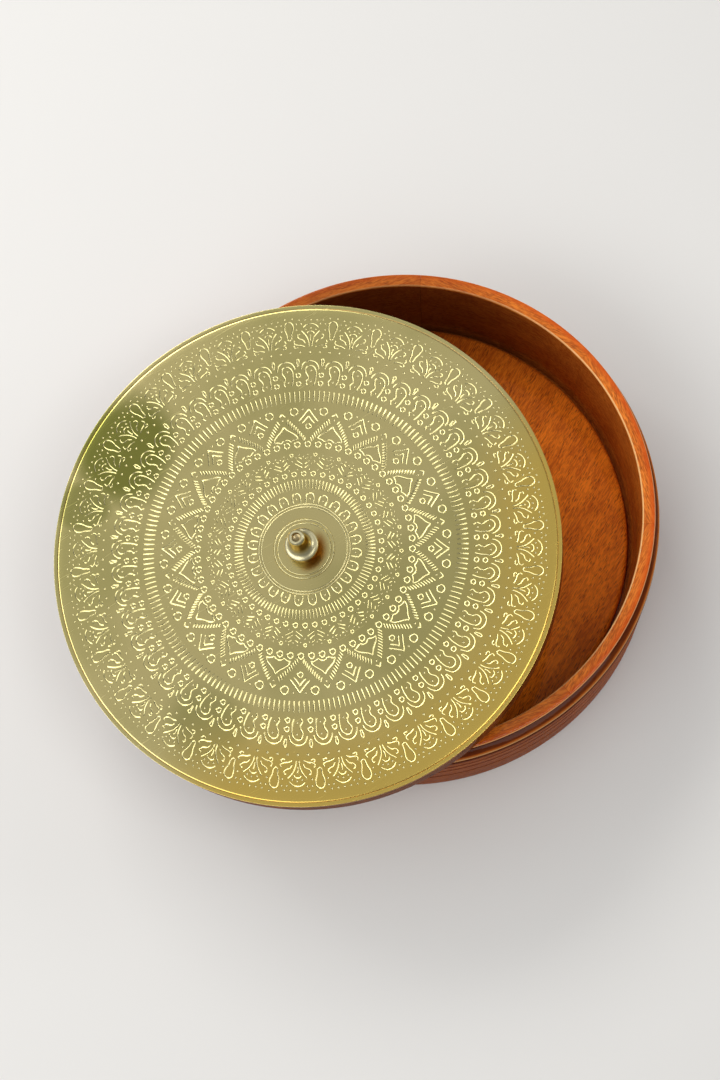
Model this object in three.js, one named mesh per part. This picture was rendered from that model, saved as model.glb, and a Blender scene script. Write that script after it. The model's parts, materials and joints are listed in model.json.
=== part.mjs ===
// A round wooden chapati box whose brass-faced lid has been slid aside and leans on the rim.
// Millimetres, +Z up. The origin is the centre of the box's underside, and the lid is slid towards -X.

import * as THREE from "three";

// Sizes of the box
const rimRadius = 125;
const boxHeight = 70;
const wallThickness = 6.5;
const segmentCount = 8;
const firstJointDegrees = 10.5;
const floorThickness = 17.5;

// Sizes of the lid
const lidBoardRadius = 123.1;
const lidBoardThickness = 15;
const coverThickness = 0.7;
const lidShift = 52.5;
const ringHeight = 5.5;
const ringWidth = 8;
const knobHeight = 25;

// Clearances
const glueGap = 0.3;
const restGap = 0.3;
const ringClearance = 2;
const shankClearance = 0.3;

// Shape of the wall's outside, from the rim down
const edgeRound = 0.8;
const neckHeight = 9.5;
const neckHollow = 0.9;
const beadHeight = 5.5;
const beadReach = 3;
const bodyReach = 3.2;
const quirkWidth = 0.8;
const quirkDepth = 1.9;
const grooveDrop = 33;
const grooveWidth = 2.4;
const grooveDepth = 0.7;
const footRound = 4;

// Shape of the wall's inside and of the floor panel
const coveHeight = 7;
const coveReach = 1.3;
const floorMoatWidth = 1.2;
const floorMoatDepth = 3;
const floorEdgeRound = 2;

// Shape of the brass cover's edge
const coverBeadWidth = 1.8;
const coverBeadRise = 0.5;
const coverGrooveWidth = 0.6;
const coverGrooveDepth = 0.3;
const skirtHeight = 3.6;

// Sizes of the fixing under the knob
const screwRadius = 2;
const screwHeadRadius = 4.2;
const screwHeadHeight = 2.2;
const screwReach = 9;
const washerRadius = 4.8;
const washerThickness = 0.8;
const counterboreRadius = 5.4;
const counterboreDepth = 4;
const knobHoleDepth = 10;
const dimpleRadius = 1.9;
const dimpleDepth = 3;

// Fineness of the round surfaces
const fullTurn = 2 * Math.PI;
const turnSteps = 64;
const knobSteps = 32;
const roundSteps = 4;
const outlineSteps = 8;

const radians = THREE.MathUtils.degToRad;

const varnishedWood = (name, color) =>
  new THREE.MeshStandardMaterial({ name, color, roughness: 0.35, metalness: 0 });
const satinBrass = (name, color) =>
  new THREE.MeshStandardMaterial({ name, color, roughness: 0.32, metalness: 1 });
const platedSteel = (name) =>
  new THREE.MeshStandardMaterial({ name, color: 0xa8aab0, roughness: 0.4, metalness: 1 });

// Points of an elliptical arc in a profile, from one angle to another, ends included.
function arc(centreRadius, centreHeight, reach, rise, fromDegrees, toDegrees, steps = roundSteps) {
  const points = [];
  for (let i = 0; i <= steps; i++) {
    const angle = radians(fromDegrees + ((toDegrees - fromDegrees) * i) / steps);
    points.push([centreRadius + reach * Math.cos(angle), centreHeight + rise * Math.sin(angle)]);
  }
  return points;
}

// The angles at which a turned piece has its rings of points.
function turnAngles(start, sweep, steps) {
  return Array.from({ length: steps + 1 }, (unused, i) => start + (sweep * i) / steps);
}

// A closed profile of [radius, height] points, listed anticlockwise, turned about +Z.
// A whole turn closes on itself. A part turn gets a flat face at each end.
function turned(profile, { start = 0, sweep = fullTurn, steps = turnSteps } = {}) {
  const whole = sweep === fullTurn;
  const angles = turnAngles(start, sweep, steps);
  if (whole) angles.pop();
  const positions = angles.flatMap((angle) =>
    profile.flatMap(([radius, height]) => [radius * Math.cos(angle), radius * Math.sin(angle), height]),
  );
  const size = profile.length;
  const index = [];
  for (let ring = 0; ring < steps; ring++) {
    const here = ring * size;
    const next = ((ring + 1) % angles.length) * size;
    for (let i = 0; i < size; i++) {
      const j = (i + 1) % size;
      index.push(here + i, next + i, next + j, here + i, next + j, here + j);
    }
  }
  if (!whole) {
    const contour = profile.map(([radius, height]) => new THREE.Vector2(radius, height));
    const last = (angles.length - 1) * size;
    for (const [a, b, c] of THREE.ShapeUtils.triangulateShape(contour, [])) {
      index.push(a, b, c, last + a, last + c, last + b);
    }
  }
  return new THREE.BufferGeometry()
    .setAttribute("position", new THREE.Float32BufferAttribute(positions, 3))
    .setIndex(index);
}

// A profile that starts and ends on the axis, turned about +Z.
function turnedSolid(profile, steps) {
  const points = profile.map(([radius, height]) => new THREE.Vector2(radius, height));
  return new THREE.LatheGeometry(points, steps).rotateX(fullTurn / 4);
}

function mesh(name, geometry, material) {
  const made = new THREE.Mesh(geometry, material);
  made.name = name;
  return made;
}

// Radii and heights that more than one piece follows
const mouthRadius = rimRadius - wallThickness;
const floorWallRadius = mouthRadius - coveReach;
const floorRadius = floorWallRadius - floorMoatWidth;
const bodyRadius = rimRadius + bodyReach;
const beadBottom = boxHeight - neckHeight - beadHeight;
const ringOuterRadius = mouthRadius - ringClearance;
const ringInnerRadius = ringOuterRadius - ringWidth;
const shankHoleRadius = screwRadius + shankClearance;
const coverUnderside = lidBoardThickness + glueGap;
const coverTop = coverUnderside + coverThickness;
const coverRadius = lidBoardRadius + glueGap + coverThickness;

// The wall's section, from the inner foot round by the outside and the rim to the moat round the floor.
function wallSection() {
  const grooveMiddle = boxHeight - grooveDrop;
  const seatRadius = floorRadius + glueGap;
  const moatBottom = floorThickness - floorMoatDepth;
  return [
    [seatRadius, 0],
    ...arc(bodyRadius - footRound, footRound, footRound, footRound, -90, 0),
    ...arc(bodyRadius, grooveMiddle, grooveDepth, grooveWidth / 2, 270, 90, outlineSteps / 2),
    [bodyRadius, beadBottom - quirkWidth],
    [bodyRadius - quirkDepth, beadBottom],
    ...arc(rimRadius, beadBottom + beadHeight / 2, beadReach, beadHeight / 2, -60, 60, outlineSteps),
    [rimRadius - neckHollow, boxHeight - neckHeight],
    [rimRadius - neckHollow, boxHeight - neckHeight / 2],
    [rimRadius, boxHeight - edgeRound],
    [rimRadius - edgeRound, boxHeight],
    [mouthRadius + edgeRound, boxHeight],
    [mouthRadius, boxHeight - edgeRound],
    ...arc(floorWallRadius, floorThickness + coveHeight, coveReach, coveHeight, 0, -60),
    [floorWallRadius, floorThickness],
    [floorWallRadius, moatBottom],
    [seatRadius, moatBottom],
  ];
}

// The wall is a ring of glued boards, each the same share of the turn, with a glue line at each joint.
function wallSegment(number) {
  const share = fullTurn / segmentCount;
  const halfLine = glueGap / 2 / mouthRadius;
  const start = radians(firstJointDegrees) + share * (number - 1) + halfLine;
  const steps = Math.round(turnSteps / segmentCount);
  const geometry = turned(wallSection(), { start, sweep: share - 2 * halfLine, steps });
  return mesh(`wall_segment_${number}`, geometry, varnishedWood("box wood", 0xb8622c));
}

function floorPanel() {
  const flatRadius = floorRadius - floorEdgeRound;
  const flatHeight = floorThickness - floorEdgeRound;
  const section = [
    [0, 0],
    [floorRadius, 0],
    ...arc(flatRadius, flatHeight, floorEdgeRound, floorEdgeRound, 0, 90),
    [0, floorThickness],
  ];
  return mesh("base_panel", turnedSolid(section, turnSteps), varnishedWood("floor wood", 0xa8501e));
}

// Lid pieces stand on the lid's own plane: height 0 is the underside of its board.
function lidBoard() {
  const section = [
    [counterboreRadius, 0],
    [lidBoardRadius - edgeRound, 0],
    [lidBoardRadius, edgeRound],
    [lidBoardRadius, lidBoardThickness],
    [shankHoleRadius, lidBoardThickness],
    [shankHoleRadius, counterboreDepth],
    [counterboreRadius, counterboreDepth],
  ];
  return mesh("lid_board", turned(section), varnishedWood("lid wood", 0x7a3417));
}

// The ring under the lid's board drops into the mouth of the box when the lid is on.
function locatingRing() {
  const top = -glueGap;
  const bottom = top - ringHeight;
  const section = [
    [ringInnerRadius, bottom],
    [ringOuterRadius - edgeRound, bottom],
    [ringOuterRadius, bottom + edgeRound],
    [ringOuterRadius, top],
    [ringInnerRadius, top],
  ];
  return mesh("locating_ring", turned(section), varnishedWood("ring wood", 0x7a3417));
}

// The brass sheet lies on the board, rises into a bead near its edge and turns down over the board's side.
function brassCover() {
  const beadMiddle = coverRadius - coverBeadWidth / 2;
  const grooveOuter = coverRadius - coverBeadWidth;
  const grooveInner = grooveOuter - coverGrooveWidth;
  const skirtBottom = coverTop - skirtHeight;
  const section = [
    [shankHoleRadius, coverUnderside],
    [lidBoardRadius + glueGap, coverUnderside],
    [lidBoardRadius + glueGap, skirtBottom],
    [coverRadius, skirtBottom],
    ...arc(beadMiddle, coverTop, coverBeadWidth / 2, coverBeadRise, 0, 180, outlineSteps / 2),
    [(grooveOuter + grooveInner) / 2, coverTop - coverGrooveDepth],
    [grooveInner, coverTop],
    [shankHoleRadius, coverTop],
  ];
  return mesh("brass_cover", turned(section), satinBrass("embossed brass", 0xbfae5e));
}

// The knob's outline as shares of its height, each with the radius there.
const knobFootRadius = 6.6;
const knobNeckRadius = 5;
const knobCollarRadius = 8.1;
const knobWaistRadius = 5.2;
const knobThroatRadius = 3.3;
const knobTipRadius = 3.7;
const knobOutlineShares = [
  [knobFootRadius, 0],
  [knobFootRadius, 0.06],
  [knobNeckRadius, 0.13],
  [knobNeckRadius, 0.22],
  [knobCollarRadius, 0.31],
  [knobCollarRadius, 0.37],
  [knobWaistRadius, 0.5],
  [knobThroatRadius, 0.7],
  [knobThroatRadius, 0.84],
  [knobTipRadius, 0.89],
  [knobTipRadius, 0.96],
];

function knob() {
  const bottom = coverTop + glueGap;
  const top = bottom + knobHeight;
  const tipEdge = (knobTipRadius - dimpleRadius) / 2;
  const section = [
    ...knobOutlineShares.map(([radius, share]) => [radius, bottom + share * knobHeight]),
    [knobTipRadius - tipEdge, top],
    [dimpleRadius, top],
    [dimpleRadius, top - dimpleDepth],
    [0, top - dimpleDepth - dimpleRadius],
  ];
  const bore = [
    [0, bottom + knobHoleDepth],
    [shankHoleRadius, bottom + knobHoleDepth],
    [shankHoleRadius, bottom],
  ];
  return mesh("knob", turnedSolid([...bore, ...section], knobSteps), satinBrass("knob brass", 0xa89240));
}

// The washer bears on the bottom of the counterbore, and the screw's head on the washer.
const washerTop = counterboreDepth - glueGap;
const headTop = washerTop - washerThickness - glueGap;

function knobWasher() {
  const section = [
    [shankHoleRadius, washerTop - washerThickness],
    [washerRadius, washerTop - washerThickness],
    [washerRadius, washerTop],
    [shankHoleRadius, washerTop],
  ];
  return mesh("knob_washer", turned(section, { steps: knobSteps }), platedSteel("washer steel"));
}

// A pan-head screw that passes up through washer, board and cover into the knob.
function knobScrew() {
  const headBottom = headTop - screwHeadHeight;
  const tip = coverTop + glueGap + screwReach;
  const headEdge = screwHeadHeight / 2;
  const section = [
    [0, headBottom],
    ...arc(screwHeadRadius - headEdge, headBottom + headEdge, headEdge, headEdge, -90, 0),
    [screwHeadRadius, headTop],
    [screwRadius, headTop],
    [screwRadius, tip - screwRadius / 2],
    [screwRadius / 2, tip],
    [0, tip],
  ];
  return mesh("knob_screw", turnedSolid(section, knobSteps), platedSteel("screw steel"));
}

// How far the lid leans, in radians. On the lid's low side its board touches the rim, and across the box
// the inner edge of its locating ring stands on the rim's outer edge, which is where the two circles cross.
function leanAngle(touchRadius) {
  const ringDrop = ringHeight + glueGap;
  const crossing =
    (touchRadius ** 2 + lidShift ** 2 - ringInnerRadius ** 2) / (2 * lidShift);
  return Math.atan2(ringDrop, touchRadius - crossing);
}

// The lid, slid towards -X and leaning down that way, clear of the rim by the rest gap.
function leaningLid() {
  const touchRadius = rimRadius - edgeRound;
  const lean = leanAngle(touchRadius);
  const reach = touchRadius - lidShift;
  const lid = new THREE.Group();
  lid.rotation.y = -lean;
  lid.position.set(
    -touchRadius + reach * Math.cos(lean) - restGap * Math.sin(lean),
    0,
    boxHeight + reach * Math.sin(lean) + restGap * Math.cos(lean),
  );
  lid.add(lidBoard(), locatingRing(), brassCover(), knob(), knobWasher(), knobScrew());
  return lid;
}

const chapatiBox = new THREE.Group();
chapatiBox.add(floorPanel());
for (let number = 1; number <= segmentCount; number++) chapatiBox.add(wallSegment(number));
chapatiBox.add(leaningLid());

export default chapatiBox;
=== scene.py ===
"""A round wooden chapati box, dressed over the frame of its parts.

The box is turned from glued boards and varnished. Its lid is faced with pressed brass sheet, has a small
turned knob, and leans on the rim where it was slid aside. Everything is in metres, in the frame of the parts.
"""

import json
import math
from collections import namedtuple

import bmesh
import bpy
from bpy.props import FloatProperty, FloatVectorProperty, PointerProperty
from mathutils import Matrix, Quaternion, Vector

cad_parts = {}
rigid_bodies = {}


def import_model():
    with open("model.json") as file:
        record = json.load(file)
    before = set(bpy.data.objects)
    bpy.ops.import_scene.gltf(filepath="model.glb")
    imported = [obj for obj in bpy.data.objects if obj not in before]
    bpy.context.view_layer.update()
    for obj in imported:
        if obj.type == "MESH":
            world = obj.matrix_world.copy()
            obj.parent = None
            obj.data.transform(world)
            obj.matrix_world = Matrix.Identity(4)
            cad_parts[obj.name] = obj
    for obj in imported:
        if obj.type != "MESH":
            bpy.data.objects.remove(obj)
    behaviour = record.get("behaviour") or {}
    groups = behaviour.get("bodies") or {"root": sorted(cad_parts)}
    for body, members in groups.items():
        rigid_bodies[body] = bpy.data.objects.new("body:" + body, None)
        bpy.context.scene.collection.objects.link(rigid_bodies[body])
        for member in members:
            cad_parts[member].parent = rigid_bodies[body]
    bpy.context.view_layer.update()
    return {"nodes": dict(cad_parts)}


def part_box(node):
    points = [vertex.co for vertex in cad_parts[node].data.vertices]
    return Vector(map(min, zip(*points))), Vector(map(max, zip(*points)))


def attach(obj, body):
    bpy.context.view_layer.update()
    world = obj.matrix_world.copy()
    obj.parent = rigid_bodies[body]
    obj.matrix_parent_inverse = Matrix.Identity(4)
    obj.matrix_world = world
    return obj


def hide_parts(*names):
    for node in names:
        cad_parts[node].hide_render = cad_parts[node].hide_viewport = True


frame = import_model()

bl_info = {
    "name": "Chapati Box",
    "version": (1, 0, 0),
    "blender": (4, 5, 0),
    "location": "View3D > Sidebar > Chapati Box",
    "description": "Builds a turned wooden chapati box with a pressed brass lid",
    "category": "Object",
}

MM = 0.001
FULL_TURN = 2 * math.pi
UP = Vector((0, 0, 1))

# Fineness of the round surfaces
TURN_STEPS = 256
SMALL_TURN_STEPS = 64
ROUND_STEPS = 8
SMALL_ROUND_STEPS = 4
STROKE_STEPS = 3
CIRCLE_KNOTS = 6
NOSE_STEPS = 2
PIT_SEGMENTS = 12
PIT_RINGS = 10
SHARP_ANGLE = math.radians(38)
LEVEL = 0.99999
MERGE_REACH = 2e-6
CORNER_DIGITS = 6

# Shape of the wall, from the rim down, with turns in degrees. Its height and its radii come from the parts.
EDGE_ROUND = 1.1 * MM
NECK_HEIGHT = 9.5 * MM
NECK_HOLLOW = 0.9 * MM
BEAD_HEIGHT = 5.5 * MM
BEAD_REACH = 3.0 * MM
BEAD_GROOVE = 0.45 * MM
BEAD_TURN = 60
BEAD_GROOVE_TURN = 6
BODY_REACH = 3.2 * MM
QUIRK_WIDTH = 0.8 * MM
QUIRK_DEPTH = 1.9 * MM
GROOVE_DROPS = (46 * MM, 33 * MM, 24 * MM)
GROOVE_WIDTH = 2.2 * MM
GROOVE_DEPTH = 0.7 * MM
FOOT_ROUND = 4 * MM
WALL_THICKNESS = 6.5 * MM
COVE_HEIGHT = 7 * MM
COVE_REACH = 0.8 * MM
COVE_TURN = 60
MOAT_DEPTH = 6 * MM
PANEL_GAP = 0.3 * MM
FLOOR_EDGE_ROUND = 2.2 * MM
FLOOR_TRIM = 0.4 * MM

# Shape of the lid's wood, on the lid's own plane
LID_EDGE_ROUND = 0.8 * MM
COUNTERBORE_DEPTH = 4 * MM
COUNTERBORE_RADIUS = 5.4 * MM
SHANK_HOLE_RADIUS = 2.3 * MM
RING_WIDTH = 8 * MM
RING_HEIGHT = 5.5 * MM

# Shape of the brass sheet's edge
SHEET_GAP = 0.3 * MM
SHEET_THICKNESS = 0.7 * MM
SHEET_BEAD_WIDTH = 1.8 * MM
SHEET_BEAD_RISE = 0.05 * MM
SHEET_GROOVE_WIDTH = 0.35 * MM
SHEET_GROOVE_DEPTH = 0.12 * MM
MARGIN_DROP = 0.1 * MM
MARGIN_STEPS = 5
SKIRT_HEIGHT = 3.6 * MM
SKIRT_CURL = 0.25 * MM

# Sizes of the fixing under the knob
WASHER_RADIUS = 4.8 * MM
WASHER_THICKNESS = 0.8 * MM
SCREW_HEAD_RADIUS = 4.2 * MM
SCREW_HEAD_HEIGHT = 2.2 * MM
SCREW_DOME_SHARE = 0.8
SCREW_RADIUS = 2 * MM
SCREW_TIP = 9 * MM
SOCKET_RADIUS = 0.9 * MM
SOCKET_DEPTH = 1.1 * MM

# The knob's outline, from its foot up: each radius, and how high it stands as a share of the knob
KNOB_FOOT = 6.6 * MM
KNOB_NECK = 4.6 * MM
KNOB_COLLAR = 8.3 * MM
KNOB_THROAT = 3.05 * MM
KNOB_TIP = 4.0 * MM
DIMPLE_RADIUS = 2.1 * MM
DIMPLE_DEPTH = 3 * MM
KNOB_OUTLINE_SHARES = (
    (KNOB_FOOT, 0.0), (KNOB_FOOT, 0.05), (KNOB_FOOT * 0.94, 0.085),
    (KNOB_NECK * 1.04, 0.13), (KNOB_NECK, 0.18), (KNOB_NECK * 1.08, 0.235),
    (KNOB_COLLAR * 0.88, 0.305), (KNOB_COLLAR * 0.97, 0.328), (KNOB_COLLAR, 0.35),
    (KNOB_COLLAR * 0.99, 0.368), (KNOB_COLLAR * 0.95, 0.382), (KNOB_COLLAR * 0.84, 0.396),
    (KNOB_COLLAR * 0.72, 0.416), (KNOB_COLLAR * 0.62, 0.448), (KNOB_COLLAR * 0.53, 0.5),
    (KNOB_COLLAR * 0.46, 0.575), (KNOB_THROAT * 1.1, 0.67), (KNOB_THROAT, 0.76), (KNOB_THROAT, 0.855),
    (KNOB_TIP * 0.96, 0.885), (KNOB_TIP, 0.915), (KNOB_TIP, 0.96), (KNOB_TIP * 0.93, 0.985),
)

# The photographed view: where the camera stands, where it looks and how far it is rolled
CAMERA_PLACE = (-0.12124, -0.25702, 1.02181)
CAMERA_AIM = (-0.02655, -0.00382, 0.07)
CAMERA_ROLL = math.radians(-9.695)
CAMERA_LENS = 66.67
CAMERA_SENSOR = 36.0


def unique_corners(node):
    """The separate corner points of a part."""
    vertices = frame["nodes"][node].data.vertices
    return {tuple(round(c, CORNER_DIGITS) for c in vertex.co) for vertex in vertices}


def middle(node):
    """The mean of a turned part's corner points, which lies on its axis."""
    corners = unique_corners(node)
    return sum((Vector(corner) for corner in corners), Vector()) / len(corners)


def reach_from_axis(node, point, axis):
    """The largest distance of a part's corners from an axis, and its lowest and highest along it."""
    steps = [Vector(corner) - point for corner in unique_corners(node)]
    along = [step.dot(axis) for step in steps]
    around = [(step - axis * height).length for step, height in zip(steps, along)]
    return max(around), min(along), max(along)


def lid_frame():
    """The matrix that takes the lid's own plane, with the underside of its board at zero, to its place."""
    board = middle("lid_board")
    axis = (middle("knob") - board).normalized()
    lowest = reach_from_axis("lid_board", board, axis)[1]
    turn = UP.rotation_difference(axis).to_matrix().to_4x4()
    return Matrix.Translation(board + axis * lowest) @ turn


LID_PLACE = lid_frame()
LID_ORIGIN = LID_PLACE.translation
LID_AXIS = (LID_PLACE.to_3x3() @ UP).normalized()
BOARD_RADIUS, _, BOARD_THICKNESS = reach_from_axis("lid_board", LID_ORIGIN, LID_AXIS)
RING_RADIUS = reach_from_axis("locating_ring", LID_ORIGIN, LID_AXIS)[0]
_, KNOB_BOTTOM, KNOB_TOP = reach_from_axis("knob", LID_ORIGIN, LID_AXIS)
KNOB_HEIGHT = KNOB_TOP - KNOB_BOTTOM
SHEET_TOP = BOARD_THICKNESS + SHEET_GAP + SHEET_THICKNESS
SHEET_RADIUS = BOARD_RADIUS + SHEET_GAP + SHEET_THICKNESS
FACE_END = SHEET_RADIUS - SHEET_BEAD_WIDTH - SHEET_GROOVE_WIDTH
BOX_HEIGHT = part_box("wall_segment_1")[1][2]
FLOOR_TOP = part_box("base_panel")[1][2]
FLOOR_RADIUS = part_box("base_panel")[1][0]
WALL_NODES = sorted(name for name in frame["nodes"] if name.startswith("wall_segment_"))
RIM_RADIUS = max(reach_from_axis(name, Vector(), UP)[0] for name in WALL_NODES) - BODY_REACH
MOUTH_RADIUS = RIM_RADIUS - WALL_THICKNESS
BEAD_BOTTOM = BOX_HEIGHT - NECK_HEIGHT - BEAD_HEIGHT


# Meshes

def arc(centre_radius, centre_height, reach, rise, start, end, steps=ROUND_STEPS):
    """Points of an elliptical arc in a profile, both ends included, with angles in degrees."""
    angles = (math.radians(start + (end - start) * i / steps) for i in range(steps + 1))
    return [(centre_radius + reach * math.cos(a), centre_height + rise * math.sin(a)) for a in angles]


def rounding(centre_radius, centre_height, size, start, end, steps=ROUND_STEPS):
    """Points of a circular arc in a profile."""
    return arc(centre_radius, centre_height, size, size, start, end, steps)


def spun(profile, start=0.0, sweep=FULL_TURN, steps=TURN_STEPS):
    """A bmesh of a closed profile of (radius, height) points, spun about the Z axis."""
    bm = bmesh.new()
    turn = Matrix.Rotation(start, 3, "Z")
    verts = [bm.verts.new(turn @ Vector((radius, 0, height))) for radius, height in profile]
    edges = [bm.edges.new((a, b)) for a, b in zip(verts, verts[1:] + verts[:1])]
    whole = sweep == FULL_TURN
    bmesh.ops.spin(bm, geom=verts + edges, cent=(0, 0, 0), axis=UP, angle=sweep, steps=steps, use_merge=whole)
    if not whole:
        bmesh.ops.edgeloop_fill(bm, edges=[edge for edge in bm.edges if edge.is_boundary])
    return bm


def is_lip(edge):
    """Whether an edge parts a level face from one that slopes."""
    level = [abs(face.normal.z) > LEVEL for face in edge.link_faces]
    return any(level) and not all(level)


def finish_mesh(bm):
    """Merges doubles, turns every face outwards and smooths all but the lips and the sharp edges."""
    bmesh.ops.remove_doubles(bm, verts=bm.verts, dist=MERGE_REACH)
    bmesh.ops.triangulate(bm, faces=[face for face in bm.faces if len(face.verts) > 4])
    bmesh.ops.recalc_face_normals(bm, faces=bm.faces)
    for face in bm.faces:
        face.smooth = True
    for edge in bm.edges:
        edge.smooth = edge.calc_face_angle(math.pi) < SHARP_ANGLE and not is_lip(edge)


def as_mesh(bm, name):
    """A mesh of a bmesh, which is then freed."""
    mesh = bpy.data.meshes.new(name)
    bm.to_mesh(mesh)
    bm.free()
    return mesh


def put(name, data):
    """A new object of some data, in the scene."""
    made = bpy.data.objects.new(name, data)
    bpy.context.scene.collection.objects.link(made)
    return made


def piece(name, bm, material, body, nodes, place=None):
    """Puts a finished bmesh in the scene as a piece that rides on a body and stands for parts."""
    finish_mesh(bm)
    if place:
        bmesh.ops.transform(bm, matrix=place, verts=bm.verts)
    made = put(name, as_mesh(bm, name))
    made.data.materials.append(material)
    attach(made, body)
    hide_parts(*nodes)


def lid_piece(name, bm, material, node):
    """Puts a piece that is drawn on the lid's own plane on the lid."""
    piece(name, bm, material, "lid", [node], LID_PLACE)


# Shader nodes. A value is a plain number, vector or colour, or another node's output.

VECTOR, COLOR, NUMBER = "NodeSocketVector", "NodeSocketColor", "NodeSocketFloat"
MIX_FACTOR, MIX_FIRST, MIX_SECOND, MIX_RESULT = 0, 6, 7, 2

# A noise over the surface: its scale along each axis, the values it fades in between, and its weight
Layer = namedtuple("Layer", "scale detail roughness low high amount distortion",
                   defaults=(0.5, 0.0, 1.0, 1.0, 0.0))


def feed(node, inputs):
    """Gives a node's inputs their values."""
    for key, value in inputs.items():
        if isinstance(value, bpy.types.NodeSocket):
            node.id_data.links.new(value, node.inputs[key])
        else:
            node.inputs[key].default_value = value


def add(tree, kind, inputs, **settings):
    """Adds a shader node and gives its outputs."""
    node = tree.nodes.new(kind)
    for key, value in settings.items():
        setattr(node, key, value)
    feed(node, inputs)
    return node.outputs


def tree_of(*values):
    """The node tree that the outputs among some values belong to."""
    return next(value.id_data for value in values if isinstance(value, bpy.types.NodeSocket))


def calculated(operation, first, second=0.5, clamp=False):
    """The result of one operation on one or two values."""
    settings = {"operation": operation, "use_clamp": clamp}
    return add(tree_of(first, second), "ShaderNodeMath", {0: first, 1: second}, **settings)[0]


def chained(operation, first, others):
    """The result of one operation on any number of values, taken in turn."""
    for other in others:
        first = calculated(operation, first, other)
    return first


def times(first, *others):
    return chained("MULTIPLY", first, others)


def plus(first, *others):
    return chained("ADD", first, others)


def strongest(first, *others):
    return chained("MAXIMUM", first, others)


def less(first, second, clamp=False):
    return calculated("SUBTRACT", first, second, clamp)


def rest(value):
    """What a share leaves of the whole."""
    return less(1.0, value)


def from_to(share, low, high):
    """A value that goes from low to high as a share goes from 0 to 1."""
    return plus(times(share, high - low), low)


def ramp(value, low, high):
    """A share that grows smoothly from 0 at low to 1 at high."""
    inputs = {"Value": value, "From Min": low, "From Max": high}
    return add(value.id_data, "ShaderNodeMapRange", inputs, interpolation_type="SMOOTHSTEP")["Result"]


def between(value, low, high, fade):
    """A mask that is 1 from low to high and fades to 0 outside them."""
    return times(ramp(value, low - fade, low), rest(ramp(value, high, high + fade)))


def vector_math(operation, first, second=None, output="Vector"):
    """The result of one operation on one or two vectors."""
    inputs = {0: first} if second is None else {0: first, 1: second}
    return add(tree_of(first, second), "ShaderNodeVectorMath", inputs, operation=operation)[output]


def off_axis(place):
    """A place's distance from the Z axis."""
    return vector_math("LENGTH", vector_math("MULTIPLY", place, (1, 1, 0)), output="Value")


def towards(place, direction):
    """How far a place lies towards a direction."""
    return vector_math("DOT_PRODUCT", place, direction, "Value")


def coordinate(place, axis):
    """A place's X, Y or Z."""
    return add(place.id_data, "ShaderNodeSeparateXYZ", {"Vector": place})[axis]


def mixed(factor, first, second):
    """The first colour with a share of the second mixed in."""
    inputs = {MIX_FACTOR: factor, MIX_FIRST: first, MIX_SECOND: second}
    return add(tree_of(factor, first, second), "ShaderNodeMix", inputs, data_type="RGBA")[MIX_RESULT]


def layered(color, layers):
    """A colour with others laid over it in turn, each with its mask."""
    for mask, tone in layers:
        color = mixed(mask, color, tone)
    return color


def scaled(vector, scale):
    return add(vector.id_data, "ShaderNodeMapping", {"Vector": vector, "Scale": scale})["Vector"]


def noise(vector, layer, output="Fac"):
    """A layer's bare noise."""
    inputs = {"Vector": scaled(vector, layer.scale), "Scale": 1.0, "Detail": layer.detail,
              "Roughness": layer.roughness, "Distortion": layer.distortion}
    return add(vector.id_data, "ShaderNodeTexNoise", inputs)[output]


def weighed(value, layer):
    """A layer's noise, faded in and weighed."""
    return times(ramp(value, layer.low, layer.high), layer.amount)


def patches(vector, layer):
    """The places where a layer's noise is high."""
    return weighed(noise(vector, layer), layer)


def lathe_rings(distance, per_metre):
    """Fine rings that a lathe leaves, by the distance from its axis or along it."""
    inputs = {"W": times(distance, per_metre), "Scale": 1.0, "Detail": 2.0}
    return add(distance.id_data, "ShaderNodeTexNoise", inputs, noise_dimensions="1D")["Fac"]


def opaque(color):
    """A colour with full alpha."""
    return (*color, 1)


def new_group(name, inputs, outputs):
    """A shader node group with its sockets, each with its kind, its inputs' outputs and its output node."""
    tree = bpy.data.node_groups.new(name, "ShaderNodeTree")
    for sockets, in_out in ((inputs, "INPUT"), (outputs, "OUTPUT")):
        for socket_name, kind in sockets.items():
            tree.interface.new_socket(socket_name, in_out=in_out, socket_type=kind)
    return tree, tree.nodes.new("NodeGroupInput").outputs, tree.nodes.new("NodeGroupOutput")


def new_material(name):
    """A new material and its shader."""
    material = bpy.data.materials.new(name)
    material.use_nodes = True
    return material, material.node_tree.nodes["Principled BSDF"]


def object_place(shader):
    """The object coordinates for a shader."""
    return add(shader.id_data, "ShaderNodeTexCoord", {})["Object"]


# Wood. Its layers' scales are along the grain, then twice across it, per metre.

BEND = Layer((5, 14, 14), 2.0)
BEND_REACH = 6 * MM
BANDS = Layer((5, 130, 130), 3.0, 0.55, 0.36, 0.64, 0.26)
STREAKS = Layer((30, 700, 700), 3.0, 0.6, 0.4, 0.6, 0.28)
FLECKS = Layer((260, 1500, 1500), 2.0, 0.6, 0.44, 0.56, 0.54)
CLOUD = Layer((70, 45, 45), 3.0, 0.6, 0.4, 0.6, 0.26)
FIGURE_CUT = 0.12
PORE_SCALE = (240, 1500, 1500)
PORE_CORE = 0.2
PORE_EDGE = 0.42
PORE_CROWDS = Layer((60, 240, 240), 2.0, 0.5, 0.38, 0.56)
FIGURE_RELIEF = 0.25
WOOD_ROUGHNESS = 0.26
STREAK_ROUGHNESS = 0.16
WOOD_BUMP = 0.5
WOOD_BUMP_REACH = 0.15 * MM
VARNISH_ROUGHNESS = 0.06
VARNISH_IOR = 1.45
FINISH_SOCKETS = {"Color": COLOR, "Height": NUMBER, "Roughness": NUMBER}
WOOD_SOCKETS = {"Vector": VECTOR, "Light": COLOR, "Dark": COLOR, "Pore": COLOR, "Pore Amount": NUMBER}


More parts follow.
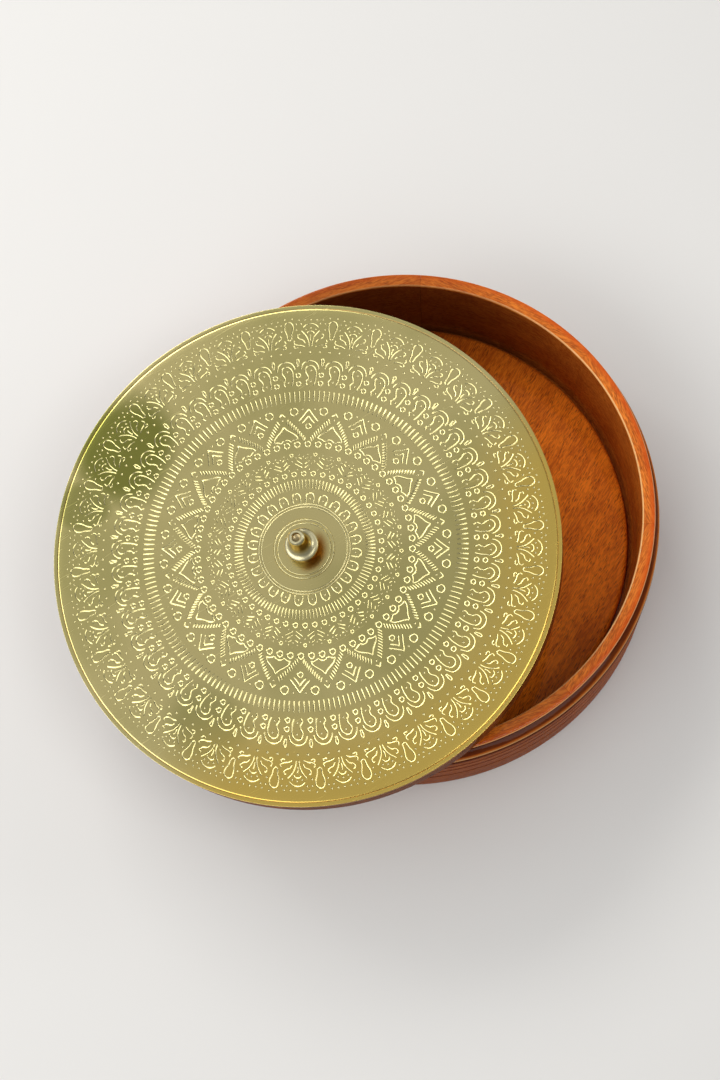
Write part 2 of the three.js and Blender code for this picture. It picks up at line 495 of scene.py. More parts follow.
def wood_figure():
    """Colour, height and roughness of varnished wood whose grain runs along the pattern's X axis."""
    if "wood_figure" in bpy.data.node_groups:
        return bpy.data.node_groups["wood_figure"]
    tree, given, out = new_group("wood_figure", WOOD_SOCKETS, FINISH_SOCKETS)
    place = given["Vector"]
    bend = vector_math("MULTIPLY", noise(place, BEND, "Color"), [BEND_REACH] * 3)
    bent = vector_math("ADD", place, bend)
    streaks = noise(bent, STREAKS)
    figure = plus(patches(bent, BANDS), weighed(streaks, STREAKS), patches(bent, FLECKS),
                  patches(place, CLOUD))
    figure = less(figure, FIGURE_CUT, clamp=True)
    cells = add(tree, "ShaderNodeTexVoronoi", {"Vector": scaled(bent, PORE_SCALE), "Scale": 1.0})["Distance"]
    pores = times(rest(ramp(cells, PORE_CORE, PORE_EDGE)), patches(place, PORE_CROWDS), given["Pore Amount"])
    feed(out, {
        "Color": mixed(pores, mixed(figure, given["Light"], given["Dark"]), given["Pore"]),
        "Height": less(times(figure, FIGURE_RELIEF), pores),
        "Roughness": plus(times(streaks, STREAK_ROUGHNESS), WOOD_ROUGHNESS),
    })
    return tree


def varnished_wood(name, light, dark, pore_amount, grain_turn, varnish, offset=(0, 0, 0), tint=None):
    """A varnished wood whose straight grain lies in the XY plane, turned by grain_turn about Z.

    The function given last takes the place, the place along the grain and the colour, and gives the colour
    with its stains and painted shade laid on and, where varnish is missing, a mask of how far.
    """
    material, shader = new_material(name)
    tree = material.node_tree
    place = object_place(shader)
    grain = add(tree, "ShaderNodeMapping", {"Vector": place, "Rotation": (0, 0, -grain_turn)})["Vector"]
    wood = add(tree, "ShaderNodeGroup", {
        "Vector": vector_math("ADD", grain, offset), "Light": opaque(light), "Dark": opaque(dark),
        "Pore": opaque(bpy.context.scene.chapati_box.pore_and_shade), "Pore Amount": pore_amount,
    }, node_tree=wood_figure())
    color, bare = tint(place, grain, wood["Color"]) if tint else (wood["Color"], None)
    bump = {"Height": wood["Height"], "Strength": WOOD_BUMP, "Distance": WOOD_BUMP_REACH}
    feed(shader, {
        "Base Color": color,
        "Roughness": wood["Roughness"],
        "Normal": add(tree, "ShaderNodeBump", bump)["Normal"],
        "Coat Weight": varnish if bare is None else times(rest(bare), varnish),
        "Coat Roughness": VARNISH_ROUGHNESS,
        "Coat IOR": VARNISH_IOR,
        "Specular IOR Level": 0.0,
    })
    return material


# Brass, on the lid's own plane. Its layers' scales are per metre.

TARNISH = Layer((9, 9, 9), 3.0, 0.6, 0.42, 0.66, 0.4)
SPOTS = Layer((260, 260, 260), 5.0, 0.7, 0.62, 0.74, 0.08)
SCRATCHES = Layer((40, 900, 40), 3.0, 0.5, 0.66, 0.72, 0.08, 1.0)
TARNISH_ROUGHNESS = 0.1
BRUSH_LINES = 2600
SHEET_BRUSHING = 1.0
KNOB_BRUSHING = 0.3
KNOB_DULLNESS_SHARE = 1.6
BRASS_BUMP = 0.3
BRASS_BUMP_REACH = 0.02 * MM
EDGE_TINT = (0.85, 0.6, 0.3, 1)
BRASS_SOCKETS = {"Vector": VECTOR, "Clean": COLOR, "Olive": COLOR, "Gold": COLOR, "Pale": COLOR,
                 "Shade": COLOR, "Brushing": NUMBER, "Dullness": NUMBER}
BRASS_TONES = ("Clean", "Olive", "Gold", "Pale", "Shade")

# Where a gold reflection is painted on the sheet, towards one side and its edge, and where dark olive
# reflections are painted on it in patches
GOLD_REFLECTION_SIDE = (0.26, -0.97, 0)
GOLD_REFLECTION_START = 20 * MM
GOLD_REFLECTION_FULL = 75 * MM
GOLD_REFLECTION_INNER = 70 * MM
GOLD_REFLECTION_OUTER = 112 * MM
REFLECTION_RAGGEDNESS = 24 * MM
DARK_REFLECTION_START = 62 * MM
DARK_REFLECTION_FULL = 92 * MM
DarkReflectionPatch = namedtuple("DarkReflectionPatch", "place core reach strength")
# Patches of painted dark olive reflection on the sheet's outer part: centre, core, reach and strength
DARK_REFLECTION_PATCHES = (
    DarkReflectionPatch((-52 * MM, 90 * MM, 17 * MM), 18 * MM, 48 * MM, 1.0),
    DarkReflectionPatch((-84 * MM, 76 * MM, 17 * MM), 11 * MM, 33 * MM, 0.75),
    DarkReflectionPatch((-82 * MM, -51 * MM, 17 * MM), 8 * MM, 38 * MM, 0.5),
)

# How deep the pressed lines begin to take painted shade at their shoulders and a painted highlight inside,
# and how strong that painted shade is
LINE_SHOULDER_DEPTH = 0.02 * MM
LINE_SHOULDER_SHADE = 0.45
LINE_HIGHLIGHT_DEPTH = 0.07 * MM

# Brown painted shade on the knob's throat towards its shaded side, the knob's painted shadow and reflection
# round its foot, and painted shade in its tip's hole and in the groove along the sheet's edge
THROAT_SHADE = 0.9
THROAT_SHADE_START = KNOB_BOTTOM + 0.58 * KNOB_HEIGHT
THROAT_SHADE_END = KNOB_BOTTOM + 0.84 * KNOB_HEIGHT
FOOT_SHADE = 0.95
FOOT_SHADE_START = 1.2 * KNOB_FOOT
FOOT_SHADE_END = 2 * KNOB_FOOT
DIMPLE_SHADE = 0.6
DIMPLE_SHADE_START = 0.9 * DIMPLE_RADIUS
DIMPLE_SHADE_END = 1.1 * DIMPLE_RADIUS
GROOVE_SHADE = 0.55
SHADED_SIDE = (0.64, -0.77, 0)


def brass_tarnish_and_reflections(place, radius, tarnish):
    """How much painted gold reflection, and how much tarnish and painted dark olive reflection, the brass has
    at each place.
    """
    ragged = times(tarnish, REFLECTION_RAGGEDNESS)
    wear_and_sheen = ramp(plus(towards(place, GOLD_REFLECTION_SIDE), ragged), GOLD_REFLECTION_START, GOLD_REFLECTION_FULL)
    tarnish_and_dark_reflection = weighed(tarnish, TARNISH)
    outer = ramp(radius, DARK_REFLECTION_START, DARK_REFLECTION_FULL)
    for patch in DARK_REFLECTION_PATCHES:
        away = plus(vector_math("DISTANCE", place, patch.place, "Value"), ragged)
        inside = rest(ramp(away, patch.core + REFLECTION_RAGGEDNESS / 2, patch.reach))
        tarnish_and_dark_reflection = strongest(tarnish_and_dark_reflection, times(inside, outer, patch.strength))
    return times(wear_and_sheen, ramp(radius, GOLD_REFLECTION_INNER, GOLD_REFLECTION_OUTER)), tarnish_and_dark_reflection


def brass_shade(place, radius, rise, skirt):
    """How much painted shade the brass has at each place: on the skirt, the knob's throat and tip, the
    groove, and as the knob's painted shadow and reflection round its foot.
    """
    aside = towards(place, SHADED_SIDE)
    throat = times(between(rise, THROAT_SHADE_START, THROAT_SHADE_END, KNOB_THROAT),
                   ramp(aside, -KNOB_THROAT, KNOB_THROAT))
    foot = times(rest(ramp(radius, FOOT_SHADE_START, FOOT_SHADE_END)), ramp(aside, 0.0, KNOB_FOOT),
                 rest(ramp(rise, KNOB_BOTTOM, KNOB_BOTTOM + KNOB_FOOT)))
    dimple = rest(ramp(radius, DIMPLE_SHADE_START, DIMPLE_SHADE_END))
    groove = between(radius, FACE_END, FACE_END + SHEET_GROOVE_WIDTH, SHEET_GROOVE_WIDTH / 4)
    return strongest(skirt, times(throat, THROAT_SHADE), times(foot, FOOT_SHADE), times(dimple, DIMPLE_SHADE),
                     times(groove, GROOVE_SHADE))


def brass_finish():
    """Colour, height and roughness of buffed brass, on coordinates centred on the turned axis."""
    if "brass_finish" in bpy.data.node_groups:
        return bpy.data.node_groups["brass_finish"]
    tree, given, out = new_group("brass_finish", BRASS_SOCKETS, FINISH_SOCKETS)
    place = given["Vector"]
    radius = off_axis(place)
    rise = coordinate(place, "Z")
    drop = less(SHEET_TOP, rise)
    tarnish = noise(place, TARNISH)
    wear_and_sheen, tarnish_and_dark_reflection = brass_tarnish_and_reflections(place, radius, tarnish)
    on_face = rest(ramp(radius, LOTUS_END - LINE_SHOULDER_DEPTH, LOTUS_END))
    # Painted shade along the pressed lines' shoulders, and a painted highlight inside the lines
    shoulder_shade = times(ramp(drop, 0.0, LINE_SHOULDER_DEPTH / 2), on_face, LINE_SHOULDER_SHADE)
    line_highlight_mask = times(ramp(drop, LINE_SHOULDER_DEPTH, LINE_HIGHLIGHT_DEPTH), on_face)
    # Painted shade and reflection on the turned-down skirt, kept out of the pressed lines
    skirt = ramp(drop, MARGIN_DROP + SHEET_GROOVE_DEPTH, MARGIN_DROP + SHEET_THICKNESS)
    shade = brass_shade(place, radius, rise, less(skirt, line_highlight_mask, clamp=True))
    feed(out, {
        # Layers: tarnish and painted dark reflection, painted gold reflection, painted shade on the lines'
        # shoulders, painted highlight in the lines, and painted shade
        "Color": layered(given["Clean"], [
            (tarnish_and_dark_reflection, given["Olive"]), (wear_and_sheen, given["Gold"]), (shoulder_shade, given["Olive"]),
            (line_highlight_mask, given["Pale"]), (shade, given["Shade"]),
        ]),
        "Height": times(lathe_rings(radius, BRUSH_LINES), given["Brushing"]),
        "Roughness": plus(times(tarnish, TARNISH_ROUGHNESS), given["Dullness"], patches(place, SPOTS),
                          patches(place, SCRATCHES)),
    })
    return tree


def buffed_brass(name, colors, brushing, dullness, anisotropy):
    """Brass that was buffed while it turned about the lid's axis."""
    material, shader = new_material(name)
    tree = material.node_tree
    place = object_place(shader)
    mapping = {"Vector": place, "Location": LID_ORIGIN, "Rotation": LID_PLACE.to_euler()}
    centred = add(tree, "ShaderNodeMapping", mapping, vector_type="TEXTURE")["Vector"]
    values = {"Vector": centred, "Brushing": brushing, "Dullness": dullness}
    values.update((tone, opaque(color)) for tone, color in zip(BRASS_TONES, colors))
    finish = add(tree, "ShaderNodeGroup", values, node_tree=brass_finish())
    bump = {"Height": finish["Height"], "Strength": BRASS_BUMP, "Distance": BRASS_BUMP_REACH}
    arm = vector_math("SUBTRACT", place, LID_ORIGIN)
    feed(shader, {
        "Base Color": finish["Color"],
        "Roughness": finish["Roughness"],
        "Normal": add(tree, "ShaderNodeBump", bump)["Normal"],
        "Tangent": vector_math("NORMALIZE", vector_math("CROSS_PRODUCT", LID_AXIS, arm)),
        "Metallic": 1.0,
        "Anisotropic": anisotropy,
        "Specular Tint": EDGE_TINT,
    })
    return material


# Steel

STEEL_GRAIN = Layer((900, 900, 900), 3.0)
STEEL_ROUGHNESS = 0.25
STEEL_UNEVENNESS = 0.2


def plated_steel(name, color):
    """Plain plated steel with a fine uneven shine."""
    material, shader = new_material(name)
    grain = noise(object_place(shader), STEEL_GRAIN)
    feed(shader, {
        "Base Color": mixed(grain, opaque(color), opaque(c / 2 for c in color)),
        "Roughness": plus(times(grain, STEEL_UNEVENNESS), STEEL_ROUGHNESS),
        "Metallic": 1.0,
    })
    return material


# Values that a user would change

def color_value(name, description, *color):
    return FloatVectorProperty(name=name, description=description, default=color, subtype="COLOR")


def share_value(name, description, share):
    return FloatProperty(name=name, description=description, default=share, min=0, max=1, subtype="FACTOR")


def length_value(name, description, length):
    return FloatProperty(name=name, description=description, default=length, unit="LENGTH")


class BoxLooks(bpy.types.PropertyGroup):
    """Colours and fine sizes of the wooden box."""

    wall_light: color_value("Wall Light", "Lighter colour of the wall's grain", 0.80, 0.225, 0.026)
    wall_dark: color_value("Wall Dark", "Darker colour of the wall's grain", 0.46, 0.094, 0.010)
    floor_light: color_value("Floor Light", "Lighter colour of the floor's grain", 1.0, 0.250, 0.017)
    floor_dark: color_value("Floor Dark", "Darker colour of the floor's grain", 0.60, 0.120, 0.009)
    lid_light: color_value("Lid Light", "Lighter colour of the lid's wood", 0.27, 0.070, 0.012)
    lid_dark: color_value("Lid Dark", "Darker colour of the lid's wood", 0.11, 0.024, 0.006)
    # Colour of the worn edges, also used for the painted highlights on the lit side, the outer edge and the
    # bead's crest
    worn_edge_and_highlight: color_value("Worn Edge", "Colour of the wood along the rim's rubbed edge", 0.95, 0.56, 0.22)
    rim_stain: color_value("Rim Stain", "Colour of the stain along the rim's outer edge", 0.62, 0.080, 0.005)
    # Colour of the painted shade on the wall's outside and of the painted shadow on the floor's back
    outside_and_floor_shade: color_value("Outside Stain", "Colour of the wall's stained outside", 0.16, 0.022, 0.004)
    # The pores' colour, also used for painted shade inside the box and in the wall's hollows, and for the
    # rim's darker back
    pore_and_shade: color_value("Pore", "Colour of the wood's open pores", 0.07, 0.013, 0.005)
    varnish: share_value("Varnish", "How much varnish covers the wood", 0.5)
    glue_line: length_value("Glue Line", "Width of the joint between two boards of the wall", 0.1 * MM)
    floor_grain: FloatProperty(name="Floor Grain", description="Direction of the floor board's grain",
                               default=math.radians(29), unit="ROTATION")


class BrassLooks(bpy.types.PropertyGroup):
    """Colours and pressed lines of the brass, and the colour of the steel."""

    sheet: color_value("Sheet", "Colour of the clean brass sheet", 0.66, 0.565, 0.245)
    # Olive is the tarnish's colour; it is also the colour of the painted dark reflections and of the painted
    # shade along the pressed lines
    olive: color_value("Olive", "Colour of the tarnished brass sheet", 0.25, 0.25, 0.055)
    # Gold is the colour of the reflection painted towards one side of the sheet's edge
    gold: color_value("Gold", "Colour of the brass sheet where it's worn bright", 0.70, 0.50, 0.115)
    # Colour painted into the pressed lines as their highlight
    line_highlight: color_value("Pale", "Colour of the brass where it's pressed", 0.63, 0.56, 0.28)
    # Colour of the painted shade and reflection on the sheet's turned-down edge and in its edge groove, and
    # of the knob's painted shadow and reflection round its foot
    shade: color_value("Shade", "Colour of the sheet's turned-down edge", 0.30, 0.11, 0.010)
    dullness: share_value("Dullness", "Roughness of the cleanest brass sheet", 0.18)
    knob: color_value("Knob", "Colour of the turned knob", 0.69, 0.63, 0.38)
    knob_dark: color_value("Knob Dark", "Colour of the knob's tarnish", 0.64, 0.56, 0.30)
    # Colour of the painted shade on the knob's throat, round its foot and in its tip's hole
    knob_shade: color_value("Knob Throat", "Colour of the tarnish on the knob's stem", 0.22, 0.12, 0.025)
    steel: color_value("Steel", "Colour of the screw and washer", 0.45, 0.46, 0.48)
    line_width: length_value("Line Width", "Width of a pressed line", 0.76 * MM)
    line_depth: length_value("Line Depth", "Depth of a pressed line in the sheet", 0.15 * MM)
    anisotropy: share_value("Brushing", "How far the buffing stretches the shine", 0.2)


# The wooden box

# The tone of each of the wall's boards, and how far apart in the pattern their grain is taken
BOARD_TONE_SHARES = (1.0, 0.95, 1.0, 0.9, 1.0, 0.88, 1.05, 1.05)
BOARD_OFFSET = (0.07, 0.031, 0.017)

# How open the pores of each wood are, and where the varnish is thinner
WALL_PORES = 0.5
FLOOR_PORES = 0.6
LID_PORES = 0.7
FLOOR_VARNISH_SHARE = 0.3
OUTSIDE_VARNISH_SHARE = 0.35
INSIDE_BARE = 0.4

# How strong the stain and the painted shade are at each place, and how the rim's stain grows and the painted
# shade inside fades towards the lit side
END_STAIN = Layer((60, 500, 500), 2.0, 0.5, 0.35, 0.6, 0.75)
END_STAIN_WIDTH = 12 * MM
HALF_BOARD = RIM_RADIUS * math.tan(math.pi / len(WALL_NODES))
RIM_STAIN = 0.45
RIM_STAIN_START = RIM_RADIUS - 3.5 * EDGE_ROUND
SIDE_RIM_STAIN = 0.7
# How much darker the rim's top is towards the back
BACK_RIM_DARKENING = 0.35
# Painted shade on the wall's inside, and how much of it clears on the lit side
INSIDE_PAINTED_SHADE = 0.75
SIDE_CLEAR = 0.55
# Painted shade and reflection on the wall's outside, and painted shade in its turned hollows
OUTSIDE_PAINTED_SHADE = 0.75
HOLLOW_PAINTED_SHADE = 0.75
# Painted shadow on the floor's back
FLOOR_BACK_SHADOW = 0.6
# The lit side, where the rim's inner edge takes a painted highlight and the painted shade inside clears
LIT_SIDE = (0.92, -0.39, 0)
SIDE_START = RIM_RADIUS / 3
SIDE_FULL = RIM_RADIUS * 0.85

# How far the edges are rubbed, with a painted highlight on the lit side and painted highlights along the
# outer edge and the bead's crest, and the shine of the lathe's lines on the outside
EDGE_WEAR = 0.25
LIT_SIDE_WEAR_AND_HIGHLIGHT = 0.85
OUTER_HIGHLIGHT_START = BOX_HEIGHT - 1.2 * EDGE_ROUND
EDGE_AND_CREST_HIGHLIGHT = 0.5
CREST_START = RIM_RADIUS + 0.84 * BEAD_REACH
CREST_FULL = RIM_RADIUS + 0.95 * BEAD_REACH
LATHE_LINES = 900
LATHE_LINE_START = 0.5
LATHE_LINE_FULL = 0.62
LATHE_SHINE = 0.4


def wall_profile():
    """The wall's section, from the inner foot round by the outside and the rim to the moat."""
    body = RIM_RADIUS + BODY_REACH
    neck = RIM_RADIUS - NECK_HOLLOW
    floor_wall = MOUTH_RADIUS - COVE_REACH
    seat = FLOOR_RADIUS + PANEL_GAP
    half_bead = BEAD_HEIGHT / 2
    bead_middle = BEAD_BOTTOM + half_bead
    grooves = [point for drop in GROOVE_DROPS
               for point in arc(body, BOX_HEIGHT - drop, GROOVE_DEPTH, GROOVE_WIDTH / 2, 270, 90)]
    return [
        (seat, 0),
        *rounding(body - FOOT_ROUND, FOOT_ROUND, FOOT_ROUND, -90, 0),
        *grooves,
        (body, BEAD_BOTTOM - 2 * QUIRK_WIDTH),
        (body - QUIRK_WIDTH / 4, BEAD_BOTTOM - QUIRK_WIDTH),
        (body - QUIRK_DEPTH, BEAD_BOTTOM),
        *arc(RIM_RADIUS, bead_middle, BEAD_REACH, half_bead, -BEAD_TURN, -BEAD_GROOVE_TURN),
        (RIM_RADIUS + BEAD_REACH - BEAD_GROOVE, bead_middle),
        *arc(RIM_RADIUS, bead_middle, BEAD_REACH, half_bead, BEAD_GROOVE_TURN, BEAD_TURN),
        (neck, BOX_HEIGHT - NECK_HEIGHT),
        (neck, BOX_HEIGHT - NECK_HEIGHT / 2),
        *rounding(RIM_RADIUS - EDGE_ROUND, BOX_HEIGHT - EDGE_ROUND, EDGE_ROUND, 0, 90),
        *rounding(MOUTH_RADIUS + EDGE_ROUND, BOX_HEIGHT - EDGE_ROUND, EDGE_ROUND, 90, 180),
        *arc(floor_wall, FLOOR_TOP + COVE_HEIGHT, COVE_REACH, COVE_HEIGHT, 0, -COVE_TURN),
        (floor_wall, FLOOR_TOP),
        (floor_wall, FLOOR_TOP - MOAT_DEPTH),
        (seat, FLOOR_TOP - MOAT_DEPTH),
    ]


def wall_hollows(height):
    """Where the wall's outside is turned hollow."""
    third = GROOVE_WIDTH / 3
    grooves = [BOX_HEIGHT - drop for drop in GROOVE_DROPS]
    return strongest(between(height, BOX_HEIGHT - NECK_HEIGHT, BOX_HEIGHT - 2 * EDGE_ROUND, EDGE_ROUND),
                     between(height, BEAD_BOTTOM - 2 * QUIRK_WIDTH, BEAD_BOTTOM, QUIRK_WIDTH),
                     *(between(height, groove - third, groove + third, third) for groove in grooves))


def wall_wear_and_highlights(radius, height, side):
    """How far the rim's inner edge is rubbed, with a painted highlight on the lit side, and the painted
    highlights along its outer edge and the bead's crest.
    """
    return (
        times(between(radius, MOUTH_RADIUS, MOUTH_RADIUS + EDGE_ROUND / 2, EDGE_ROUND / 4),
              ramp(height, BOX_HEIGHT - EDGE_ROUND, BOX_HEIGHT - EDGE_ROUND / 2),
              from_to(side, EDGE_WEAR, LIT_SIDE_WEAR_AND_HIGHLIGHT)),
        times(ramp(radius, RIM_RADIUS - EDGE_ROUND / 2, RIM_RADIUS - EDGE_ROUND / 4),
              ramp(height, OUTER_HIGHLIGHT_START, BOX_HEIGHT - EDGE_ROUND), EDGE_AND_CREST_HIGHLIGHT),
        times(ramp(radius, CREST_START, CREST_FULL),
              between(height, BEAD_BOTTOM + BEAD_HEIGHT / 4, BEAD_BOTTOM + BEAD_HEIGHT, EDGE_ROUND / 4),
              EDGE_AND_CREST_HIGHLIGHT),
    )


def wall_stain_and_shade(place, grain, color):
    """Stains the board ends and the rim, darkens the rim's back, paints shade inside, outside and in the
    hollows, and adds lathe lines and worn edges with painted highlights.
    """
    looks = bpy.context.scene.chapati_box
    radius, height = off_axis(place), coordinate(place, "Z")
    outside = ramp(radius, RIM_RADIUS - 3 * EDGE_ROUND, RIM_RADIUS - 2 * EDGE_ROUND)
    top = ramp(height, BOX_HEIGHT - 2 * EDGE_ROUND, BOX_HEIGHT - EDGE_ROUND)
    outside_low = times(outside, rest(top))
    inside_low = less(rest(top), outside_low)
    side = ramp(towards(place, LIT_SIDE), SIDE_START, SIDE_FULL)
    back = ramp(coordinate(place, "Y"), RIM_RADIUS / 3, RIM_RADIUS)
    end = ramp(calculated("ABSOLUTE", coordinate(grain, "X")), HALF_BOARD - END_STAIN_WIDTH, HALF_BOARD)
    on_rim = times(ramp(radius, RIM_STAIN_START, RIM_RADIUS - EDGE_ROUND), top)
    lathe = ramp(lathe_rings(height, LATHE_LINES), LATHE_LINE_START, LATHE_LINE_FULL)
    # Stains on the board ends and along the rim, the rim's darker back, painted shade inside, outside and in
    # the hollows, the lathe lines' shine, and wear with painted highlights
    tints = [
        (times(end, patches(grain, END_STAIN)), looks.wall_dark),
        (times(on_rim, from_to(side, RIM_STAIN, SIDE_RIM_STAIN)), looks.rim_stain),
        (times(top, back, BACK_RIM_DARKENING), looks.pore_and_shade),
        (times(inside_low, rest(times(side, SIDE_CLEAR)), INSIDE_PAINTED_SHADE), looks.pore_and_shade),
        (times(outside_low, OUTSIDE_PAINTED_SHADE), looks.outside_and_floor_shade),
        (times(lathe, outside_low, LATHE_SHINE), looks.wall_light),
        (times(wall_hollows(height), outside, HOLLOW_PAINTED_SHADE), looks.pore_and_shade),
        *((wear_and_sheen, looks.worn_edge_and_highlight) for wear_and_sheen in wall_wear_and_highlights(radius, height, side)),
    ]
    bare = plus(times(outside_low, 1 - OUTSIDE_VARNISH_SHARE), times(inside_low, INSIDE_BARE))
    return layered(color, [(mask, opaque(tint)) for mask, tint in tints]), bare


def floor_back_shadow(place, grain, color):
    """Painted shadow: the floor's board grows darker towards the back."""
    back = times(ramp(coordinate(place, "Y"), 0.0, FLOOR_RADIUS), FLOOR_BACK_SHADOW)
    return mixed(back, color, opaque(bpy.context.scene.chapati_box.outside_and_floor_shade)), None


class CHAPATI_OT_make_wall(bpy.types.Operator):
    """Turn the wall from its ring of glued boards"""

    bl_idname = "chapati.make_wall"
    bl_label = "Wall"

    def execute(self, context):
        looks = context.scene.chapati_box
        share = FULL_TURN / len(WALL_NODES)
        half_line = looks.glue_line / 2 / MOUTH_RADIUS
        for number, (node, tone) in enumerate(zip(WALL_NODES, BOARD_TONE_SHARES), 1):
            centre = middle(node)
            turn = math.atan2(centre.y, centre.x)
            material = varnished_wood(
                f"wall_board_wood_{number}", [tone * c for c in looks.wall_light],
                [tone * c for c in looks.wall_dark], WALL_PORES, turn + math.radians(90), looks.varnish,
                offset=[number * step for step in BOARD_OFFSET], tint=wall_stain_and_shade,
            )
            bm = spun(wall_profile(), turn - share / 2 + half_line, share - 2 * half_line,
                      TURN_STEPS // len(WALL_NODES))
            piece(f"wall_board_{number}", bm, material, "box", [node])
        return {"FINISHED"}


class CHAPATI_OT_make_floor(bpy.types.Operator):
    """Turn the floor board"""

    bl_idname = "chapati.make_floor"
    bl_label = "Floor"

    def execute(self, context):
        looks = context.scene.chapati_box
        round_radius = FLOOR_RADIUS - FLOOR_TRIM - FLOOR_EDGE_ROUND
        step = FLOOR_TOP - MOAT_DEPTH
        profile = [
            (0, 0), (FLOOR_RADIUS, 0), (FLOOR_RADIUS, step), (FLOOR_RADIUS - FLOOR_TRIM, step),
            *rounding(round_radius, FLOOR_TOP - FLOOR_EDGE_ROUND, FLOOR_EDGE_ROUND, 0, 90),
            (0, FLOOR_TOP),
        ]
        material = varnished_wood("floor_board_wood", looks.floor_light, looks.floor_dark, FLOOR_PORES,
                                  looks.floor_grain, looks.varnish * FLOOR_VARNISH_SHARE, tint=floor_back_shadow)
        piece("floor_board", spun(profile), material, "box", ["base_panel"])
        return {"FINISHED"}


# The lid

class CHAPATI_OT_make_lid_wood(bpy.types.Operator):
    """Turn the lid's board and the ring under it"""

    bl_idname = "chapati.make_lid_wood"
    bl_label = "Lid Wood"

    def execute(self, context):
        looks = context.scene.chapati_box
        material = varnished_wood("lid_wood", looks.lid_light, looks.lid_dark, LID_PORES,
                                  looks.floor_grain / 2, looks.varnish * OUTSIDE_VARNISH_SHARE)
        rebate = SHEET_TOP - SKIRT_HEIGHT - SHEET_GAP
        board = [
            (COUNTERBORE_RADIUS, 0),
            *rounding(SHEET_RADIUS - LID_EDGE_ROUND, LID_EDGE_ROUND, LID_EDGE_ROUND, -90, 0),
            (SHEET_RADIUS, rebate), (BOARD_RADIUS, rebate),
            (BOARD_RADIUS, BOARD_THICKNESS), (SHANK_HOLE_RADIUS, BOARD_THICKNESS),
            (SHANK_HOLE_RADIUS, COUNTERBORE_DEPTH), (COUNTERBORE_RADIUS, COUNTERBORE_DEPTH),
        ]
        lid_piece("lid_disc", spun(board), material, "lid_board")
        top = -SHEET_GAP
        inner = RING_RADIUS - RING_WIDTH
        round_low = top - RING_HEIGHT + LID_EDGE_ROUND
        ring = [
            *rounding(inner + LID_EDGE_ROUND, round_low, LID_EDGE_ROUND, 180, 270),
            *rounding(RING_RADIUS - LID_EDGE_ROUND, round_low, LID_EDGE_ROUND, -90, 0),
            (RING_RADIUS, top), (inner, top),
        ]
        lid_piece("lid_ring", spun(ring), material, "locating_ring")
        return {"FINISHED"}


def margin_profile():
    """The section of the sheet's margin: rolled down, a groove, a low bead at the edge, and a skirt."""
    bottom = SHEET_TOP - SHEET_THICKNESS
    inner_skirt = SHEET_RADIUS - SHEET_THICKNESS
    curl = SKIRT_CURL
    curl_middle = SHEET_TOP - SKIRT_HEIGHT + curl
    half_bead = SHEET_BEAD_WIDTH / 2
    edge_top = SHEET_TOP - MARGIN_DROP
    shares = [i / MARGIN_STEPS for i in range(MARGIN_STEPS, -1, -1)]
    return [
        (LOTUS_END, bottom),
        (inner_skirt, bottom),
        *rounding(inner_skirt + curl, curl_middle, curl, 180, 270, SMALL_ROUND_STEPS),
        *rounding(SHEET_RADIUS - curl, curl_middle, curl, -90, 0, SMALL_ROUND_STEPS),
        *arc(SHEET_RADIUS - half_bead, edge_top, half_bead, SHEET_BEAD_RISE, 0, 180, 2 * ROUND_STEPS),
        (FACE_END + SHEET_GROOVE_WIDTH / 2, edge_top - SHEET_GROOVE_DEPTH),
        *((LOTUS_END + share * (FACE_END - LOTUS_END), SHEET_TOP - MARGIN_DROP * share * share)
          for share in shares),
    ]


def centre_profile(looks):
    """The section of the sheet's plain centre, with the plain rings pressed round the knob."""
    tool = PressTool(looks.line_width, looks.line_depth)
    lip = math.degrees(math.asin(looks.line_width / 2 / tool.nose))
    rings = [point for radius in CENTRE_RING_RADII
             for point in rounding(radius, SHEET_TOP + tool.lift, tool.nose, -90 - lip, -90 + lip)]
    bottom = SHEET_TOP - SHEET_THICKNESS
    return [(SHANK_HOLE_RADIUS, SHEET_TOP), *rings, (CENTRE_END, SHEET_TOP), (CENTRE_END, bottom),
            (SHANK_HOLE_RADIUS, bottom)]


def sheet_brass():
    """The brass of the sheet and its pressed lines, made once."""
    looks = bpy.context.scene.chapati_brass
    if "pressed_brass" not in bpy.data.materials:
        colors = (looks.sheet, looks.olive, looks.gold, looks.line_highlight, looks.shade)
        buffed_brass("pressed_brass", colors, SHEET_BRUSHING, looks.dullness, looks.anisotropy)
    return bpy.data.materials["pressed_brass"]


class CHAPATI_OT_make_sheet(bpy.types.Operator):
    """Spin the plain centre and the margin of the brass sheet"""

    bl_idname = "chapati.make_sheet"
    bl_label = "Brass Sheet"

    def execute(self, context):
        centre = centre_profile(context.scene.chapati_brass)
        for name, profile in (("sheet_centre", centre), ("sheet_margin", margin_profile())):
            lid_piece(name, spun(profile), sheet_brass(), "brass_cover")
        return {"FINISHED"}


# The pressed pattern. The sheet is made of rings, and each ring repeats one cell round the lid. A motif's
# points are shares: across, of the ring's pitch, and outwards, of the motif's reach from inner to outer.

Ring = namedtuple("Ring", "name count turn inner outer start end")
Motif = namedtuple("Motif", "ring lines loops circles pits fineness", defaults=((), (), (), (), 1.0))

# Where the plain rings are, and where the plain centre and each patterned ring end
CENTRE_RING_RADII = (13 * MM, 14.7 * MM, 21 * MM, 22.3 * MM)
CENTRE_END = 22.85 * MM
CUPS_END = 29.1 * MM
INNER_BARS_END = 35.7 * MM
SMALL_CIRCLES_END = 39.2 * MM
CHEVRONS_END = 49.6 * MM
SPADES_END = 72.5 * MM
OUTER_BARS_END = 81.0 * MM
ARCHES_END = 98.0 * MM
BEADS_END = 101.3 * MM
LOTUS_END = 118.9 * MM


